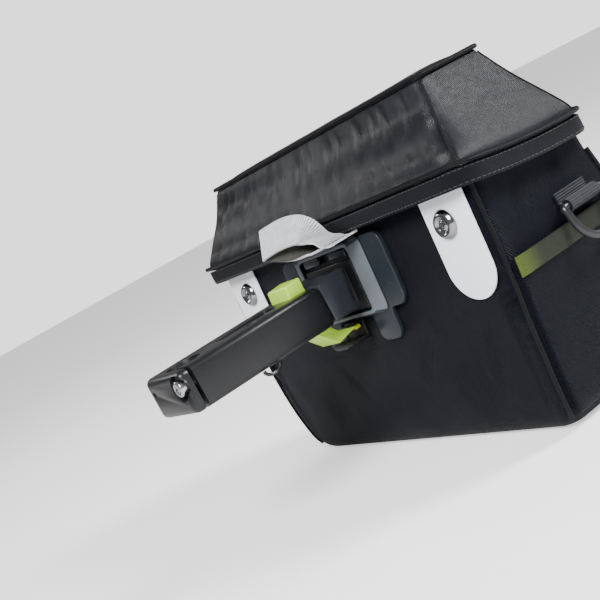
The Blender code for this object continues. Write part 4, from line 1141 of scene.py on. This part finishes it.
def makeStuds():
    outline = [(a * studLook["radius"], b * studLook["height"]) for a, b in studLook["profile"]]
    tilt = math.radians(backPanel["tilt"])
    for side, word in ((1, "right"), (-1, "left")):
        piece = turned("snapStud_" + word, outline, studLook["sides"])
        z = studLook["level"] * mm
        out = (tabLook["wall"] + studLook["gap"]) * mm
        place = Vector((side * studLook["place"] * mm, backY(z) - out * math.cos(tilt), z))
        standOut(piece, place, math.radians(90) - tilt)
        dress(piece, materials["chrome"], "chrome", "bag", "stud_" + word)


def makeTabs():
    half, tilt = tabLook["width"] / 2, math.radians(backPanel["tilt"])
    for side, word in ((1, "right"), (-1, "left")):
        outline = [(-half, 0.0), (-half, half - tabLook["length"])]
        for step in range(1, tabLook["arcSteps"]):
            angle = math.pi * step / tabLook["arcSteps"]
            outline.append((-half * math.cos(angle), half - tabLook["length"] - half * math.sin(angle)))
        outline += [(half, half - tabLook["length"]), (half, 0.0)]
        mesh = bpy.data.meshes.new("whiteTab")
        corners = [(x * mm, -tabLook["stand"] * mm, z * mm) for x, z in outline]
        mesh.from_pydata(corners, [], [list(range(len(outline)))])
        piece = addObject("whiteTab_" + word, mesh)
        editMesh(piece, (bpy.ops.mesh.extrude_region_move,
                         {"TRANSFORM_OT_translate": {"value": (0, -tabLook["wall"] * mm, 0)}}))
        fixNormals(piece)
        roundEdges(piece, 0.6, 4, 50)
        piece.location = (side * tabLook["middle"] * mm, backY(tabLook["top"] * mm), tabLook["top"] * mm)
        piece.rotation_euler.x = -tilt
        settle(piece)
        smooth(piece, 40)
        dress(piece, materials["tabWhite"], "white_plastic", "bag", "tab_" + word)


def makeRing(side, word, centre):
    look = ringLook
    lean = math.radians(look["lean"])
    down = Vector((side * math.sin(lean), 0, -math.cos(lean)))
    bar, arc = look["barSteps"], look["arcSteps"]
    points = [centre + Vector((0, (-1 + 2 * step / bar) * look["half"] * mm, 0)) for step in range(bar)]
    for step in range(arc + 1):
        angle = math.pi * step / arc
        y = look["half"] * math.copysign(abs(math.cos(angle)) ** look["square"], math.cos(angle))
        drop = look["leg"] * min(1.0, abs(math.sin(angle)) * 4) + look["half"] * math.sin(angle)
        points.append(centre + Vector((0, y * mm, 0)) + down * drop * mm)
    piece = sweep("dRing_" + word, points, look["wire"] * mm, closed=True, sides=20)
    smooth(piece, 60)
    dress(piece, materials["ringBlack"], "steel_black", "ring_" + word, "d_ring_" + word)


def makeRingLoop(side, word, centre):
    # Webbing down the bag's side and round the ring's bar, with ribs across it
    look = loopLook
    wall = look["wall"]
    edge = look["gap"] - look["out"] + wall
    path = [(Vector((edge, look["tail"] * (1 - step / 20))), Vector((1, 0)))
            for step in range(look["tailSteps"])]
    for step in range(look["turnSteps"] + 1):
        angle = math.radians(look["turnFrom"] - look["turn"] * step / look["turnSteps"])
        outward = Vector((math.cos(angle), math.sin(angle)))
        path.append((outward * (ringLook["wire"] + look["gap"] + wall), outward))
    travelled = lengthsAlong([point for point, outward in path])
    rows, spots = [], []
    for k in range(look["cells"] + 1):
        y = look["width"] * (k / look["cells"] - 0.5)
        row = []
        for (p, outward), far in zip(path, travelled):
            q = p + outward * (look["rib"] * (math.cos(2 * math.pi * far / look["ribPitch"]) - 1))
            row.append(centre + Vector((side * q.x, y, q.y)) * mm)
        rows.append(row)
        spots.append([(far * mm, look["width"] * mm * k / look["cells"]) for far in travelled])
    piece = gridPiece("ringLoop_" + word, rows, spots)
    thicken(piece, (wall - look["slack"]) * mm, offset=-1 if side > 0 else 1)
    fixNormals(piece)
    smooth(piece, 60)
    dress(piece, materials["darkWeb"], "dark_web", "bag", "ring_loop_" + word)


def makeRings():
    out, forward, up = ringLook["place"]
    for side, word in ((1, "right"), (-1, "left")):
        centre = Vector((side * out, forward, up)) * mm
        makeRing(side, word, centre)
        makeRingLoop(side, word, centre)


def shapeBlock(name, rows, edge, segments=4):
    # Closed block through four-cornered sections, all edges rounded
    mesh = bmesh.new()
    rings = [[mesh.verts.new(Vector(p) * mm) for p in row] for row in rows]
    for low, high in zip(rings, rings[1:]):
        for i in range(len(low)):
            j = (i + 1) % len(low)
            mesh.faces.new((low[i], low[j], high[j], high[i]))
    mesh.faces.new(rings[0][::-1])
    mesh.faces.new(rings[-1])
    data = bpy.data.meshes.new(name)
    mesh.to_mesh(data)
    mesh.free()
    piece = addObject(name, data)
    fixNormals(piece)
    roundEdges(piece, edge, segments, 20)
    smooth(piece, 40)
    return piece


def makeSlider():
    half, rear, front = button["half"], button["rear"], button["rear"] + button["length"]
    foot, top = button["foot"], button["foot"] + button["height"]
    lean = button["lean"]
    low = ((-half, rear, foot), (half, rear, foot), (half, front, foot), (-half, front, foot))
    high = ((-half, rear + lean, top - lean), (half, rear + lean, top - lean),
            (half, front, top), (-half, front, top))
    rows = [[shift(p) for p in row] for row in (low, high)]
    piece = shapeBlock("releaseButton", rows, 1.3, 5)
    dress(piece, materials["lime"], "lime_plastic", "release", "release_button")
    for node, name, material, slot, edge in (
            ("lock_stem", "sliderStem", "lime", "lime_plastic", 0.4),
            ("lock_hook", "sliderHook", "lime", "lime_plastic", 0.25),
            # The lock tongue takes the lime plastic with painted light, as yellow-olive
            ("lock_tongue", "sliderTongue", "olive", "olive_plastic", 0.25)):
        dress(copyNode(node, name, edge, 2), materials[material], slot, "release", node)


# Painted shade on the head starts at this place along y
headShadeFrom = -54.5  # the head's rear plate begins here, in mm


def makeHolder():
    for node, name, material, slot, edge in (
            ("mount_plate", "holderPlate", "slate", "slate_plastic", 0.8),
            ("socket_frame", "socketFrame", "slate", "slate_plastic", 0.7),
            ("socket_catch_right", "socketCatch_right", "slate", "slate_plastic", 0.25),
            ("socket_catch_left", "socketCatch_left", "slate", "slate_plastic", 0.25),
            ("socket_lip", "socketLip", "blackSatin", "black_plastic", 0.5),
            ("adapter_head", "holderHead", "headSlate", "slate_plastic", 0.3),
            ("cable_eye", "cableEye", "armBlack", "arm_black", 0.0)):
        piece = copyNode(node, name, edge)
        dress(piece, materials[material], slot, "bag", node)
        if node == "socket_frame":
            # Painted highlight: a bright rim round the mouth
            addSecondLook(piece, "rimHighlightSlate", lambda face: face.normal.y < -0.9)
        if node == "adapter_head":
            # Painted shade: the head's rear plate, in the shade inside the frame's mouth, is given the black
            # satin
            addSecondLook(piece, "blackSatin", lambda face: face.center.y > headShadeFrom * mm)


makeStrap()
makeArm()
makeBolt()
makeStuds()
makeTabs()
makeRings()
makeSlider()
makeHolder()
print("hard pieces made")


def makeCamera():
    a, e, r = (math.radians(camera[key]) for key in ("azimuth", "elevation", "roll"))
    back = Vector((math.sin(a) * math.cos(e), -math.cos(a) * math.cos(e), math.sin(e)))
    level = Vector((math.cos(a), math.sin(a), 0))
    up = back.cross(level)
    right = math.cos(r) * level + math.sin(r) * up
    top = math.cos(r) * up - math.sin(r) * level
    turn = Matrix((right, top, back)).transposed().to_4x4()
    turn.translation = Vector(camera["place"])
    deselectAll()
    bpy.ops.object.camera_add()
    eye = bpy.context.active_object
    eye.matrix_world = turn
    eye.data.sensor_width = camera["sensor"]
    eye.data.lens = camera["sensor"] * camera["focalPixels"] / camera["frameWidth"]
    eye.data.clip_start = 0.01
    bpy.context.scene.camera = eye


def addLight(name, place, size, power):
    deselectAll()
    bpy.ops.object.light_add(type="AREA", location=place)
    lamp = bpy.context.active_object
    lamp.name = name
    lamp.data.shape = "RECTANGLE"
    lamp.data.size = lamp.data.size_y = size
    lamp.data.energy = power
    lamp.rotation_euler = (Vector(studio["aim"]) - Vector(place)).to_track_quat("-Z", "Y").to_euler()


studio = {
    "backdrop": 1.9, "fill": 0.28, "floorGlow": 0.75, "aim": (0, -0.02, 0.12),
    "lamps": (("keyLight", (1.05, -1.2, 1.25), 0.7, 66), ("sideLight", (0.83, 0.75, 1.0), 0.40, 34),
              ("rearLight", (-1.1, -0.55, 0.95), 0.3, 5)),
}


def makeStudio():
    deselectAll()
    bpy.ops.mesh.primitive_plane_add(size=14, location=(0, 0, -0.0004))
    floor = bpy.context.active_object
    floor.name = "studioFloor"
    material, tree, shader = startMaterial("paleFloor")
    shader.inputs["Base Color"].default_value = (0.86, 0.86, 0.86, 1)
    shader.inputs["Roughness"].default_value = 0.7
    shader.inputs["Emission Color"].default_value = (1, 1, 1, 1)
    seen = tree.nodes.new("ShaderNodeLightPath")
    glow = maths(tree, "MULTIPLY", seen.outputs["Is Camera Ray"], studio["floorGlow"])
    tree.links.new(glow, shader.inputs["Emission Strength"])
    floor.data.materials.append(material)
    # A bright backdrop, and a weaker light from all around
    world = bpy.data.worlds.new("studioWorld")
    bpy.context.scene.world = world
    world.use_nodes = True
    tree = world.node_tree
    backdrop = tree.nodes["Background"]
    backdrop.inputs["Color"].default_value = (1, 1, 1, 1)
    seen = tree.nodes.new("ShaderNodeLightPath")
    strength = maths(tree, "MULTIPLY_ADD", seen.outputs["Is Camera Ray"], studio["backdrop"] - studio["fill"],
                     studio["fill"])
    tree.links.new(strength, backdrop.inputs["Strength"])
    for name, place, size, power in studio["lamps"]:
        addLight(name, place, size, power)


makeCamera()
makeStudio()
print("camera and lights made")
